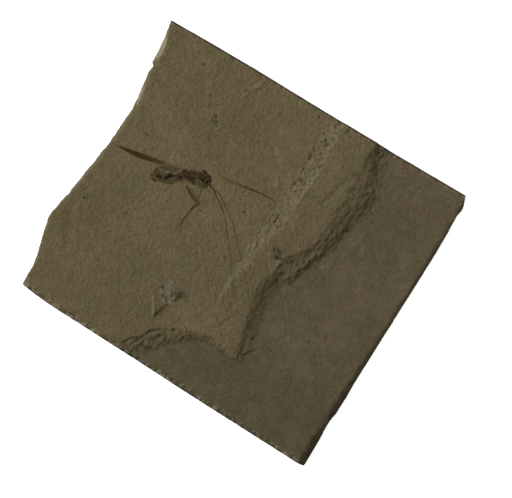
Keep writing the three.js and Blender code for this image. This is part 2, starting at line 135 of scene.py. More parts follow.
# Where the broken front of the ridge starts and ends, as (x, y)
FRONT_BRINK = [
    (-16, -45), (-13.2, -41), (-12, -38.9), (-10, -37), (-9, -35.6), (-8.4, -33.5), (-6.7, -32),
    (-5.5, -31.2), (-4.3, -30.6), (-2.8, -29.6), (-1, -29), (0.8, -28.2), (3, -27.4), (6, -26.3), (8, -26),
    (14, -27.4), (18, -26.6),
]
FRONT_TOE = [
    (-16, -52), (-10, -46), (-8.3, -41.5), (-5.8, -39), (-3.8, -36.2), (-1.8, -34), (0.6, -32),
    (1.8, -30.6), (4, -29), (7, -28), (14, -28.6), (18, -28),
]
# Low humps and hollows: middle x and y, half length, half width, turn in degrees, rise
HUMPS = [
    (-43, -20, 7, 2, -70, -0.2), (-17.7, 40.7, 1.9, 0.9, 60, 0.22), (-4.3, 27, 2.2, 1.1, -75, -0.1),
    (11, 3.4, 2.2, 1.3, -45, -0.2), (11.7, 2, 0.7, 0.6, 0, -0.25), (-5.9, -20.9, 2.2, 1.5, 35, -0.3),
]
# Small pits and spalls: the same six numbers, with a depth for the rise
PITS = [
    (5.1, 31.2, 1.2, 0.5, 80, 0.25), (7.5, 36.4, 0.8, 0.4, 70, 0.3), (5.1, 22.3, 0.5, 0.45, 0, 0.3),
    (5.3, 20.5, 0.9, 0.3, 85, 0.25), (7.4, 25.7, 0.7, 0.4, 70, 0.3), (6.7, 24.1, 0.8, 0.5, 20, 0.3),
    (7.4, 27.4, 0.5, 0.35, 0, 0.25), (5.9, 11.2, 1.7, 0.3, 92, 0.35), (5.8, 7, 0.9, 0.25, 90, 0.25),
    (3.9, 0.3, 0.9, 0.3, 80, 0.16), (3, 3, 0.9, 0.3, 60, 0.12), (10.6, 42.6, 1, 0.7, 60, 0.35),
    (11.9, 41.6, 0.5, 0.4, 0, 0.25), (7.2, 33.2, 0.7, 0.5, 0, 0.25), (-11.7, -21.5, 0.5, 0.35, 60, 0.25),
    (-10.5, -23.4, 0.7, 0.3, -60, 0.25), (-6.3, -22.9, 0.5, 0.3, 40, 0.2),
    (-7.9, -25.1, 0.4, 0.3, 0, 0.25), (17.5, -21, 0.5, 0.4, 0, 0.25), (5, -30.3, 0.8, 0.35, 0, 0.2),
    (18, -11, 0.7, 0.25, -50, 0.15), (-33.8, 10.3, 0.8, 0.6, 0, 0.12), (-23.1, 27.3, 0.9, 0.4, 60, 0.2),
    (-23.6, 25.6, 0.7, 0.4, -60, 0.15), (-22, 24.8, 0.9, 0.4, -30, 0.22), (-3.7, 28.9, 0.5, 0.4, 0, 0.25),
    (-4.2, 27.2, 0.5, 0.4, 40, 0.15), (-3.6, 25.8, 0.5, 0.3, -60, 0.15), (-3.2, 37.2, 0.9, 0.2, -50, 0.12),
    (-30.3, 35.6, 0.5, 0.3, 20, 0.12), (-26.9, 38.4, 0.4, 0.3, 0, 0.12), (-44.5, -5, 1.6, 0.3, -50, 0.15),
    (27.3, 27.6, 0.6, 0.35, 20, 0.2), (29.5, 24.3, 0.5, 0.35, 0, 0.2), (32.5, 13.8, 0.6, 0.35, -40, 0.2),
    (38.7, 9.2, 0.7, 0.25, 20, 0.15), (30.3, 32, 0.5, 0.35, 0, 0.15), (26, 3.5, 0.6, 0.35, 0, 0.15),
]
# A thin flake that stands up beside the ridge, and the crushed patch behind it, by their corners
FLAKE = [(-14.1, -23.6), (-12, -20), (-7, -20), (-7.9, -24.6), (-8.9, -27), (-9.9, -29.9)]
FLAKE_RISE = 0.55
CRUSHED_PATCH = [
    (-13, -20.4), (-11, -19.3), (-9.1, -18.3), (-7.9, -19.6), (-7.4, -21.4), (-6.2, -22.6), (-7, -24),
    (-8.2, -24.8), (-9.5, -25.8), (-10.6, -24.4), (-11.6, -22.8),
]
# Small crumpled places, paler than the bed: middle x and y, half length, half width, turn, strength
CRUMPLED = [
    (-23.2, 26.3, 2.6, 1.3, -55, 1), (-17.8, 40.5, 2.8, 1.7, 60, 0.6), (-19.6, 35.8, 1, 0.6, 60, 0.6),
    (-4.2, 27.2, 2.2, 0.9, -75, 0.7), (0.8, 19.5, 1.4, 0.7, -60, 0.8), (4.7, 12.2, 2, 1.1, 90, 0.7),
    (12.3, 1.6, 2.6, 1.4, -45, 0.6), (-3.4, 37, 1, 0.4, -50, 0.5), (-20, -3, 1.4, 0.9, -50, 0.5),
    (-33.5, -2, 1.2, 0.8, 20, 0.4), (16.6, -1.6, 1.2, 0.8, -20, 0.8), (30.5, 16, 2.4, 1.6, -60, 0.5),
    (-44.6, -14.5, 1.4, 0.8, -60, 0.4), (-43.2, 21, 2, 0.6, -60, 0.5), (8.3, -28.2, 1.6, 0.7, -5, 0.6),
    (15.6, -28, 1.6, 0.8, 20, 0.7), (25, 7, 2, 0.9, 60, 0.4), (-37.5, 39.5, 1.6, 0.6, 80, 0.3),
    (4.9, -4.8, 9, 2.6, 90, 0.42),
]
# Dark places, partly soiled stone and partly painted shade in pits, beside the flake and on the broken side
# of the
# ridge: middle x and y, half length, half width, turn, share of the dark colour
SOIL_AND_SHADE_PLACES = [
    (-9.3, -28.3, 1.4, 0.5, 68, 0.1), (-9, -26.3, 0.9, 0.7, 60, 0.26), (-10.3, -25.8, 1.2, 0.4, -55, 0.15),
    (-6.1, -20.9, 2.3, 1.7, 0, 0.33), (-6.7, -22, 0.9, 1.2, 0, 0.2), (-6.2, -20.5, 1, 0.7, 0, 0.1),
    (-6.5, -22.9, 0.5, 0.4, 0, 0.5), (-11.6, -21.4, 0.45, 0.6, 0, 0.55), (-10.4, -23.5, 0.5, 0.6, 30, 0.5),
    (-8.2, -22.4, 0.3, 0.4, 0, 0.4), (-7.9, -25, 0.35, 0.4, 0, 0.55), (-7.4, -19.6, 0.7, 0.25, 20, 0.3),
    (10.9, 3.5, 2.3, 1.4, -45, 0.2), (11.3, 3.9, 1.1, 0.7, -20, 0.42), (11.7, 2.1, 1.2, 0.7, 10, 0.3),
    (10.5, 1.3, 1.3, 0.35, -45, 0.3), (12.9, 2.2, 0.7, 0.5, 0, 0.35), (14, 3.3, 1.5, 0.7, 50, 0.35),
    (15.6, 3.3, 0.7, 1.1, 0, 0.35), (15.2, -1.2, 1, 0.7, 0, 0.35), (18.4, -2, 0.7, 0.9, 0, 0.4),
    (18.6, 1.2, 0.7, 1.4, -10, 0.2), (18, 6.5, 0.5, 1.2, -20, 0.3), (5, 30.4, 0.45, 0.5, 0, 0.3),
    (5.1, 31.6, 0.9, 1.2, 0, 0.16), (5.2, 26.8, 0.3, 1, 8, 0.3), (5.1, 22.3, 0.4, 0.4, 0, 0.4),
    (6.5, 24.3, 0.7, 0.7, 0, 0.2), (7.4, 35.4, 0.7, 1.8, 0, 0.14), (6.8, 24.3, 1.1, 0.8, 35, 0.2),
    (7.3, 25.7, 0.4, 0.5, 0, 0.3), (7.5, 36.6, 0.4, 0.7, 0, 0.2), (17.5, -21, 0.45, 0.4, 0, 0.4),
    (25.3, 31, 0.8, 1.4, 0, 0.15), (20.7, 41.5, 1, 1.6, 0, 0.25), (22.3, 38, 1.2, 1.6, 0, 0.12),
    (-34, 38, 0.5, 0.4, 0, 0.3), (-23.6, 26.2, 1.4, 0.9, -55, 0.18), (-6.3, -38.2, 0.9, 0.7, 30, 0.25),
    (-44.4, 39, 0.7, 0.4, 0, 0.25),
]
# Thin lines that are sunk in the stone or stand up from it: depth, half width, and the points of the line
LINES = [
    (0.15, 0.8, [(18.8, 33.4), (17.2, 30.5), (16.2, 28), (15.4, 24.5), (14.4, 21.5)]),
    (0.18, 0.28, [(9.2, -18.6), (8.8, -19.6), (8.1, -20.7), (7.7, -22.1), (7, -23.4)]),
    (0.07, 0.22, [(7, -5.4), (7.9, -6.3), (8.7, -7.1)]),
    (0.07, 0.22, [(8.5, -4.8), (9.4, -5.9), (10.1, -7.1)]),
    (0.4, 0.36, [(-13.4, -41), (-12.8, -39.8), (-12, -38.5), (-11.1, -37.7), (-9.8, -37.1), (-9.1, -36),
                 (-8.8, -34.9), (-8.3, -33.8), (-7.4, -33), (-6.3, -31.9)]),
    (0.3, 0.3, [(-11, -40), (-10.6, -38.9), (-9.8, -37.8)]),
    (0.3, 0.32, [(-6.5, -35.6), (-5.8, -34.4), (-5, -33.1)]),
    (0.35, 0.45, [(-6.9, -38.6), (-6.2, -38.3), (-5.8, -37.6)]),
    (0.35, 0.35, [(-4.6, -30.9), (-4.3, -30.6)]),
    (0.35, 0.35, [(-3, -30.1), (-2.6, -29.7)]),
    (0.3, 0.28, [(-2, -29.4), (-0.7, -29.2)]),
    (0.3, 0.3, [(0.4, -31.8), (0.9, -30.6)]),
    (0.3, 0.32, [(-4.3, -36), (-3.6, -35.2)]),
    (0.3, 0.32, [(-2.2, -34), (-1.7, -32.6)]),
    (0.3, 0.32, [(-10.4, -41.9), (-9.9, -41.2)]),
    (0.3, 0.3, [(-8.6, -41), (-8.2, -40.2)]),
    (-0.1, 0.22, [(20.2, -7.4), (21.6, -9.3), (23.4, -11.6), (25, -14), (27.2, -17.4)]),
    (0.14, 0.5, [(5, 33.5), (4.9, 30), (5.1, 27), (5.5, 24.5), (5.4, 21), (5.2, 18.8)]),
    (0.2, 0.3, [(5.9, 14), (6, 12), (5.9, 10)]),
    (0.2, 0.25, [(5.6, 8.2), (5.8, 6)]),
    (-0.24, 0.45, [(8.4, 42.6), (7, 40.3), (6.2, 39), (5.6, 37.4)]),
    (0.08, 0.25, [(3.9, 1.6), (4.2, 0.2), (3.9, -1.2)]),
    (-0.1, 0.3, [(2.8, 2.5), (3.3, 0.5), (3.5, -1)]),
    (-0.12, 0.25, [(5.2, 4.8), (4.6, 2), (5, 0.3), (4.7, -1.3)]),
    (-0.1, 0.36, [(3.6, -0.5), (3.7, -2.5), (4.2, -4.5), (4.2, -6.5), (4.1, -9), (3.8, -10.6), (3.6, -12.4),
                  (3.6, -15)]),
    (0.07, 0.22, [(6, -6), (7.2, -7.6), (8.3, -8.6), (9, -9.5), (10, -10.6), (11, -12.2)]),
    (0.07, 0.22, [(4.4, -9.8), (5.6, -11.5), (6.8, -13), (7.8, -14.1)]),
    (0.05, 0.2, [(6, -10.8), (6.8, -12), (7.5, -13)]),
    (-0.08, 0.2, [(3.2, -13.5), (3.6, -15.5), (4.3, -17.5)]),
    (-0.12, 0.2, [(-4.7, -21.1), (-5.4, -22), (-6.3, -23.2)]),
    (0.18, 0.25, [(20, -23), (18.9, -24.3), (17.5, -26.4)]),
    (-0.2, 0.32, [(-13.8, -23.9), (-12.5, -25.2), (-11.2, -26.6), (-10.3, -28), (-9.9, -29.9)]),
    (-0.1, 0.25, [(-3.5, -19.4), (-4.5, -21.5), (-5.7, -23.1)]),
    (-0.15, 0.3, [(13.4, 1.4), (12.8, 0.3), (12.4, -1)]),
    (0.15, 0.35, [(13.7, -0.5), (13.8, 2), (14.6, 4), (16, 5.4), (17.6, 6.6), (18.6, 8.2), (19.6, 9.8)]),
    (-0.14, 0.35, [(-19.1, 37.2), (-19.9, 35.8)]),
    (-0.2, 0.25, [(-24.8, 28.2), (-24.4, 26.2), (-22.8, 24.6), (-21.2, 24.3), (-20.6, 25.6)]),
    (0.2, 0.25, [(-23.8, 27.6), (-22.6, 26.4), (-21.6, 25)]),
    (-0.12, 0.3, [(9.3, 28), (9.5, 24), (8.7, 19), (8.9, 15.5)]),
]
# Where the antennae run on across the ridge as mere stains
STAINS = [
    [(2, -2.3), (4, -4.2), (5.3, -5.4), (6.3, -6.4), (8.3, -8.5), (9.1, -9.5), (10.8, -11.8), (11.4, -12.8)],
    [(1.9, -7), (3.2, -8.8), (4.4, -9.9), (5.6, -11.4), (7.2, -13.4), (8.3, -14.8)],
]
STAIN_WIDTH = 0.3
# The part of the bed that is kept true under the insect's film, and the width over which it turns uneven
TRUE_BED = {"left": -50, "right": 2, "front": -13, "back": 18, "blend": 9}


def along(line, place):
    """Value at a place on a list of (place, value) pairs, on straight lines between them."""
    places, values = np.transpose(line)
    return np.interp(place, places, values)


def eased(place, start, end):
    """Share from 0 to 1 of the way from start to end, eased at both ends."""
    share = np.clip((place - start) / (end - start), 0, 1)
    return share * share * (3 - 2 * share)


def lumps(x, y, length, seed):
    """Smooth lumps from about -1 to 1, with about that length from one to the next."""
    turns = np.random.default_rng(seed).uniform(0, 2 * np.pi, (256, 256))
    u, v = np.broadcast_arrays(x / length, y / length)
    i, j = np.floor(u).astype(int), np.floor(v).astype(int)
    total = 0
    for di in (0, 1):
        for dj in (0, 1):
            turn = turns[(i + di) % 256, (j + dj) % 256]
            du, dv = u - i - di, v - j - dj
            weight = (1 - eased(abs(du), 0, 1)) * (1 - eased(abs(dv), 0, 1))
            total = total + weight * (du * np.cos(turn) + dv * np.sin(turn))
    return 1.5 * total


def rough(x, y, length, seed, octaves=4):
    """Lumps on lumps, each half as long and half as high as the last."""
    return sum(lumps(x, y, length / 2**k, seed + k) / 2**k for k in range(octaves)) / 1.5


def chips(x, y, size, seed):
    """Flat broken facets: the height, from about -1 to 1, of the tilted facet nearest to each point."""
    rng = np.random.default_rng(seed)
    shift, level = rng.uniform(0, 1, (256, 256, 2)), rng.uniform(-1, 1, (256, 256))
    tilt = rng.uniform(-1, 1, (256, 256, 2))
    u, v = np.broadcast_arrays(x / size, y / size)
    i, j = np.floor(u).astype(int), np.floor(v).astype(int)
    nearest, height = np.full(u.shape, 9.0), np.zeros(u.shape)
    for di in (-1, 0, 1):
        for dj in (-1, 0, 1):
            a, b = (i + di) % 256, (j + dj) % 256
            du, dv = u - i - di - shift[a, b, 0], v - j - dj - shift[a, b, 1]
            distance = du * du + dv * dv
            facet = 0.6 * level[a, b] + tilt[a, b, 0] * du + tilt[a, b, 1] * dv
            height = np.where(distance < nearest, facet, height)
            nearest = np.minimum(distance, nearest)
    return height


def distance_to(line, x, y):
    """Distance from each point to the nearest place on a line of straight stretches."""
    nearest = np.full(np.shape(x), 1e9)
    for (x0, y0), (x1, y1) in zip(line, line[1:]):
        dx, dy = x1 - x0, y1 - y0
        share = np.clip(((x - x0) * dx + (y - y0) * dy) / (dx * dx + dy * dy), 0, 1)
        nearest = np.minimum(nearest, np.hypot(x - x0 - share * dx, y - y0 - share * dy))
    return nearest


def within(corners, x, y, soft):
    """1 inside the outline through the corners and 0 outside, over a soft edge as wide as given."""
    inside = np.zeros(np.shape(x), bool)
    closed = corners + corners[:1]
    for (x0, y0), (x1, y1) in zip(closed, closed[1:]):
        crossing = (y0 > y) != (y1 > y)
        inside ^= crossing & (x < x0 + (y - y0) * (x1 - x0) / (y1 - y0 if y1 != y0 else 1))
    depth = np.where(inside, 1, -1) * distance_to(closed, x, y)
    return eased(depth, -soft / 2, soft / 2)


def oval(x, y, middle_x, middle_y, long, wide, turn):
    """Distance from the middle of an oval, 1 on its outline."""
    c, s = math.cos(math.radians(turn)), math.sin(math.radians(turn))
    dx, dy = x - middle_x, y - middle_y
    return np.hypot((dx * c + dy * s) / long, (dy * c - dx * s) / wide)


def patch(x, y, place, full, none, edge=0):
    """1 in the middle of an oval place and 0 outside it, over a soft edge that may be uneven."""
    return 1 - eased(oval(x, y, *place) + edge, full, none)


def beside(line, half_width, x, y):
    """1 on a line, fading to 0 on both sides of it."""
    return np.exp(-((distance_to(line, x, y) / half_width) ** 2))


def layered(share, wander, layers, strength, tread=0.5, start=0):
    """A drop from 0 to 1 cut into thin layers, whose edges wander. A share of each layer is flat, and the
    first one starts part of the way down."""
    share = np.clip(share, 0, 1)
    steps = start + share * (layers - start) + wander * np.sin(np.pi * share)
    whole = np.floor(steps)
    stepped = (whole + eased(steps - whole, tread, 1)) / layers
    return np.clip(share + strength * (stepped - share), 0, 1)


def crushed_part(y):
    """How crushed the ridge is: 0 in its smooth front part and 1 in its rear part."""
    return eased(y, CRUSHED_FROM, CRUSHED_FULLY)


def ridge_parts(x, y):
    """Share of the ridge's rise at each point, and share of the drop behind it and in front of it."""
    bent_x = x + 0.5 * rough(x, y, 4, 11) + 0.2 * rough(x, y, 1.1, 21)
    bent_y = y + 0.5 * rough(x, y, 4, 31) + 0.2 * rough(x, y, 1.1, 41)
    foot, shoulder = along(RIDGE_FOOT, y), along(RIDGE_SHOULDER, y)
    gentle_x = x + 0.5 * (bent_x - x)
    broken_up = 0.16 * chips(x, y, 1.1, 13) + 0.12 * rough(x, y, 0.9, 14, 2)
    broken_up = (0.3 + 0.7 * crushed_part(y)) * broken_up
    climb = np.clip((gentle_x - foot) / (shoulder - foot) + broken_up, 0, 1)
    fall, last_x, last_share = 0, None, 0
    for stations in zip(*[[(y0, *station) for station in section] for y0, section in BREAK_SECTIONS]):
        station_x = along([(y0, x0) for y0, x0, _ in stations], y)
        share = along([(y0, share) for y0, _, share in stations], y)
        if last_x is not None:
            fall = fall + (share - last_share) * np.clip((bent_x - last_x) / (station_x - last_x), 0, 1)
        last_x, last_share = station_x, share
    wander = 1.3 * rough(x, y, 2.5, 51)
    fall = layered(fall, wander, layers=5, strength=along(LAYERING, y))
    front_brink, front_toe = along(FRONT_BRINK, x), along(FRONT_TOE, x)
    front = (bent_y - front_brink) / (front_toe - front_brink)
    front = layered(front, 0.8 * wander, layers=4, strength=0.9, tread=0.7, start=0.7)
    return climb, np.maximum(fall, front)


def crumpled(x, y):
    """How strongly each point is crumpled, over all of the small crumpled places."""
    edge = 0.3 * rough(x, y, 1.2, 87)
    return sum(strength * patch(x, y, place, 0.5, 1.2, edge) for *place, strength in CRUMPLED)


def top_height(x, y):
    """Height of the top of the slab."""
    climb, fall = ridge_parts(x, y)
    fade, rear = along(RIDGE_FADE, y), crushed_part(y)
    smooth = eased(climb, 0, 1)
    level = RIDGE_RISE * fade * (smooth + rear * (along(RIDGE_PROFILE, climb) - smooth))
    height = BED + level - fall * (level + BREAK_DROP)
    edge = 0.2 * rough(x, y, 1.5, 61)
    for *place, hump_rise in HUMPS:
        height = height + hump_rise * patch(x, y, place, 0.2, 1.25, edge)
    flake = within(FLAKE, x + 0.15 * rough(x, y, 1.5, 65), y, 0.7) * (1 - eased(y, -28.5, -23))
    height = height + FLAKE_RISE * flake
    outside_x = np.maximum(TRUE_BED["left"] - x, x - TRUE_BED["right"]).clip(0)
    outside_y = np.maximum(TRUE_BED["front"] - y, y - TRUE_BED["back"]).clip(0)
    away = eased(np.hypot(outside_x, outside_y), 0, TRUE_BED["blend"])
    height = height + BED_SWELL * away * rough(x, y, 15, 71) + BED_RIPPLE * away * rough(x, y, 2.4, 75)
    # Broken texture: on both sides of the ridge, in the crushed and crumpled places and below the break
    crushed = np.sin(np.pi * climb) * fade * (0.5 + rear)
    crushed = crushed + np.sin(np.pi * fall) ** 0.7 * (0.35 + 0.65 * eased(abs(y - RIDGE_NECK), 9, 18))
    crushed = crushed + within(CRUSHED_PATCH, x, y, 0.6) + crumpled(x, y)
    toe = along([(y0, section[-1][0]) for y0, section in BREAK_SECTIONS], y)
    below_break = eased(x - toe, -1, 0) * (1 - eased(x - toe, 4, 11)) * eased(y, -4, 4)
    crushed = (crushed + 0.4 * below_break).clip(0, 1.5)
    relief = BROKEN_FACETS * chips(x, y, 1.2, 81) + BROKEN_LUMPS * rough(x, y, 1.2, 82, 3)
    height = height + crushed * relief
    edge = 0.2 * rough(x, y, 0.9, 85)
    for *place, depth in PITS:
        height = height - depth * patch(x, y, place, 0.3, 1.2, edge)
    wavy_x = x + 0.3 * rough(x, y, 2, 91)
    uneven = (1 + 1.3 * rough(x, y, 1.3, 92, 2)).clip(0, 2.2)
    for depth, half_width, line in LINES:
        height = height - depth * uneven * beside(line, half_width, wavy_x, y)
    return height


# Where the cells of the top change width, as (x, width), where its rows start and end, and their depth
COLUMN_WIDTHS = [(-46, 0.37), (1, 0.25), (28, 0.42), (47, 0)]
ROWS_FROM, ROWS_TO, ROW_DEPTH = -43, 44, 0.36
EDGE_SHARES = [0, 0.0012, 0.0035, 0.007]     # finer cells along the arrises, as shares of the way across
# Heights of the rings of the sides, and sizes of those of the underside, as shares of the whole
SIDE_RINGS = [0.975, 0.94, 0.9, 0.85, 0.8, 0.74, 0.68, 0.62, 0.56, 0.5, 0.44, 0.37, 0.3, 0.22, 0.14, 0.06, 0]
UNDERSIDE_RINGS = [0.9, 0.6, 0.25]
CHIP_DEPTH, ARRIS_WEAR = 0.3, 0.12     # how deep the arrises are chipped and worn
UNDERSIDE_WAVE, UNDERSIDE_MIDDLE = 0.12, 0.1     # how far the underside lifts inside its rim


def shares_across(stops):
    """Shares from 0 to 1 at the given stops, with fine cells at both ends."""
    shares = (stops - stops[0]) / (stops[-1] - stops[0])
    ends = np.array(EDGE_SHARES)
    inner = shares[(shares > ends[-1] + 0.002) & (shares < 1 - ends[-1] - 0.002)]
    return np.concatenate([ends, inner, 1 - ends[::-1]])


def from_sawn_edges(x, y):
    """Distances from the front edge and from the back one."""
    return y - along(FRONT_EDGE, x), along(BACK_EDGE, x) - y


def slab_top():
    """x, y and z of the top's grid, with worn and chipped arrises, and the bruises from the saw: pale where
    above 0, dark where below."""
    columns = [np.arange(a, b, width) for (a, width), (b, _) in zip(COLUMN_WIDTHS, COLUMN_WIDTHS[1:])]
    rows = np.arange(ROWS_FROM, ROWS_TO, ROW_DEPTH)
    u, v = np.meshgrid(shares_across(np.concatenate(columns)), shares_across(rows))
    first_x = np.interp(u, [0, 1], [COLUMN_WIDTHS[0][0], COLUMN_WIDTHS[-1][0]])
    y = along(FRONT_EDGE, first_x) * (1 - v) + along(BACK_EDGE, first_x) * v
    left = along(LEFT_EDGE, y) + 0.12 * rough(y, 0 * y, 2.4, 101)
    right = along(RIGHT_EDGE, y) + 0.3 * rough(y, 0 * y, 2.4, 111)
    x = left + u * (right - left)
    y = along(FRONT_EDGE, x) * (1 - v) + along(BACK_EDGE, x) * v
    z = top_height(x, y)
    to_front, to_back = from_sawn_edges(x, y)
    reach = 1.6 + 0.9 * rough(x, 0 * y, 2.2, 121, 2)
    bruised_and_lit = (1 - eased(to_front, 0.5 * reach, reach)) * (0.05 + 1.9 * chips(x, 1.3 * y, 1, 122))
    reach = 1.3 + 0.8 * rough(x, 0 * y, 1.8, 131, 2)
    bruised_and_lit = bruised_and_lit + (1 - eased(to_back, 0.4 * reach, reach)) * (chips(x, 1.3 * y, 1, 132) - 0.05)
    reach = 0.6 + 0.4 * rough(0 * x, y, 1.8, 141, 2)
    to_side = np.minimum(x - left, right - x)
    chipped = (1 - eased(to_side, 0.2 * reach, reach)) * (0.3 + 0.6 * chips(x, y, 1, 142))
    z = z - CHIP_DEPTH * bruised_and_lit.clip(-0.3, 1) - CHIP_DEPTH * chipped.clip(0, 1)
    z = z - ARRIS_WEAR * (1 - eased(np.minimum(to_front, to_back), 0, 0.3))
    return x, y, z, bruised_and_lit


def rim_of(grid):
    """Entries on the edge of a grid, anticlockwise seen from above."""
    return np.concatenate([grid[0, :-1], grid[:-1, -1], grid[-1, :0:-1], grid[:0:-1, 0]])


def slab_side(x, y, z, on_left, on_right, share):
    """One ring of the sides, at a share of the full height. Only the broken sides stand out and flake."""
    layer = share * BED
    flakes = 0.25 * (rough(y, layer * 4, 3.2, 151) - 0.7) + 0.12 * chips(y, layer * 3, 1.6, 161)
    fade = min(1.0, (1 - share) * 12)
    reach = along(BATTER_REACH, share)
    out_left = reach * (x - along(LEFT_EDGE, y) + along(LEFT_BATTER, y)) + fade * flakes
    out_right = reach * (along(RIGHT_EDGE, y) + along(RIGHT_BATTER, y) - x) + 0.25 * fade * flakes
    saw_marks = fade * 0.03 * rough(x, layer, 1.5, 171)
    new_x = x - on_left * out_left + on_right * out_right
    return np.column_stack([new_x, y + (1 - on_left - on_right) * np.sign(y) * saw_marks, share * z])


def bands(upper, lower):
    """Faces between one ring of points and the next."""
    return np.stack([upper, lower, np.roll(lower, -1), np.roll(upper, -1)], -1).tolist()


def slab_mesh():
    """Points and faces, with the top's grid first and then the rings of the sides and of the underside, the
    grid itself, and a number for each point past it: -1 on the left side, 1 on the right one, otherwise 0."""
    x, y, z, bruised_and_lit = slab_top()
    grid = np.arange(x.size).reshape(x.shape)
    quads = np.stack([grid[:-1, :-1], grid[:-1, 1:], grid[1:, 1:], grid[1:, :-1]], -1)
    faces = quads.reshape(-1, 4).tolist()
    points = [np.column_stack([x.ravel(), y.ravel(), z.ravel()])]
    upper = rim_of(grid)
    rim = points[0][upper]
    column = upper % x.shape[1]
    on_left, on_right = (column == 0).astype(float), (column == x.shape[1] - 1).astype(float)
    side = []
    rings = [slab_side(*rim.T, on_left, on_right, share) for share in SIDE_RINGS]
    for share in UNDERSIDE_RINGS:
        ring = rings[len(SIDE_RINGS) - 1] * share
        ring[:, 2] = UNDERSIDE_WAVE * (1 + rough(ring[:, 0], ring[:, 1], 6, 181)).clip(0, 2)
        rings.append(ring)
    for number, ring in enumerate(rings):
        lower = x.size + number * len(rim) + np.arange(len(rim))
        faces += bands(upper, lower)
        points.append(ring)
        side.append((on_right - on_left) * (number < len(SIDE_RINGS)))
        upper = lower
    last = x.size + len(rings) * len(rim)
    points.append([[0, 0, UNDERSIDE_MIDDLE]])
    faces += [[a, last, b] for a, b in zip(upper, np.roll(upper, -1))]
    return np.vstack(points), faces, (x, y, z, bruised_and_lit), np.concatenate(side + [[0]])


def averaged(grid, cells):
    """Each entry of a grid averaged with its neighbours."""
    for axis in (0, 1):
        for _ in range(cells):
            before, after = np.roll(grid, 1, axis), np.roll(grid, -1, axis)
            grid = (before + 2 * grid + after) / 4
    return grid


def in_scene(name, data):
    """An object that shows a mesh, a lamp or a camera, at the origin."""
    thing = bpy.data.objects.new(name, data)
    bpy.context.scene.collection.objects.link(thing)
    return thing


def new_piece(name, points, faces, material, **marks):
    """A mesh piece in millimetres made into an object, with a number per point for each mark."""
    mesh = bpy.data.meshes.new(name)
    mesh.from_pydata((np.asarray(points) * MM).tolist(), [], faces)
    for mark, values in marks.items():
        mesh.attributes.new(mark, "FLOAT", "POINT").data.foreach_set("value", np.asarray(values, np.float32))
    mesh.materials.append(material)
    mesh.shade_smooth()
    return in_scene(name, mesh)


def add(tree, kind, inputs=None, **settings):
    """A node with its settings, and its inputs linked or set by name or number."""
    node = tree.nodes.new(kind)
    for key, value in settings.items():
        setattr(node, key, value)
    for key, value in (inputs or {}).items():
        if isinstance(value, bpy.types.NodeSocket):
            tree.links.new(value, node.inputs[key])
        else:
            node.inputs[key].default_value = value
    return node


def mixed(tree, share, first, second, mode="MIX"):
    """Colour socket between two colours."""
    node = add(tree, "ShaderNodeMix", {0: share, 6: first, 7: second}, data_type="RGBA", blend_type=mode)
    return node.outputs[2]


def ranged(tree, value, low, high, new_low=0.0, new_high=1.0):
    """Value socket mapped from one range to another and kept inside it."""
    node = add(tree, "ShaderNodeMapRange", {0: value, 1: low, 2: high, 3: new_low, 4: new_high})
    return node.outputs[0]


def calculated(tree, operation, first, *others):
    """Value socket of several values taken in turn."""
    for other in others:
        first = add(tree, "ShaderNodeMath", {0: first, 1: other}, operation=operation).outputs[0]
    return first


def marked(tree, name):
    """Value socket of a mark on the piece."""
    return add(tree, "ShaderNodeAttribute", attribute_name=name).outputs["Fac"]


def noise(tree, place, scale, detail=2.0, roughness=0.5):
    """Value socket of soft cloudy noise."""
    inputs = {"Vector": place, "Scale": scale, "Detail": detail, "Roughness": roughness}
    return add(tree, "ShaderNodeTexNoise", inputs).outputs[0]


def spots(tree, place, scale, rarest, largest):
    """Small round specks in some of the cells of a scattered pattern, of any size up to the largest."""
    inputs = {"Vector": place, "Scale": scale, "Randomness": 1.0}
    cells = add(tree, "ShaderNodeTexVoronoi", inputs)
    size = add(tree, "ShaderNodeSeparateColor", {0: cells.outputs["Color"]}).outputs[0]
    radius = ranged(tree, size, rarest, 1.0, 0.0, largest)
    edge = calculated(tree, "SUBTRACT", radius, cells.outputs["Distance"])
    return ranged(tree, edge, 0.0, 0.35 * largest)


OCHRE = (0.1208, 0.0897, 0.0486, 1)
OLIVE = (0.1097, 0.0892, 0.0444, 1)
LOWER_OCHRE = (0.098, 0.0755, 0.043, 1)
LOWER_OLIVE = (0.087, 0.074, 0.04, 1)
FRESH_AND_LIT_STONE = (0.152, 0.13, 0.081, 1)
BRUISED_AND_LIT_STONE = (0.25, 0.225, 0.155, 1)
DIRT_AND_SHADE_COLOUR = (0.0228, 0.0202, 0.0092, 1)
# Specks in the stone: cells to a millimetre, share of the cells that stay bare, largest size, shade
SPECKS = [(0.42, 0.5, 0.13, 0.5), (1.1, 0.6, 0.17, 0.65), (0.8, 0.55, 0.16, 1.22)]


def new_material(name):
    """A material with its tree and its shader."""
    material = bpy.data.materials.new(name)
    material.use_nodes = True
    return material, material.node_tree, material.node_tree.nodes["Principled BSDF"]


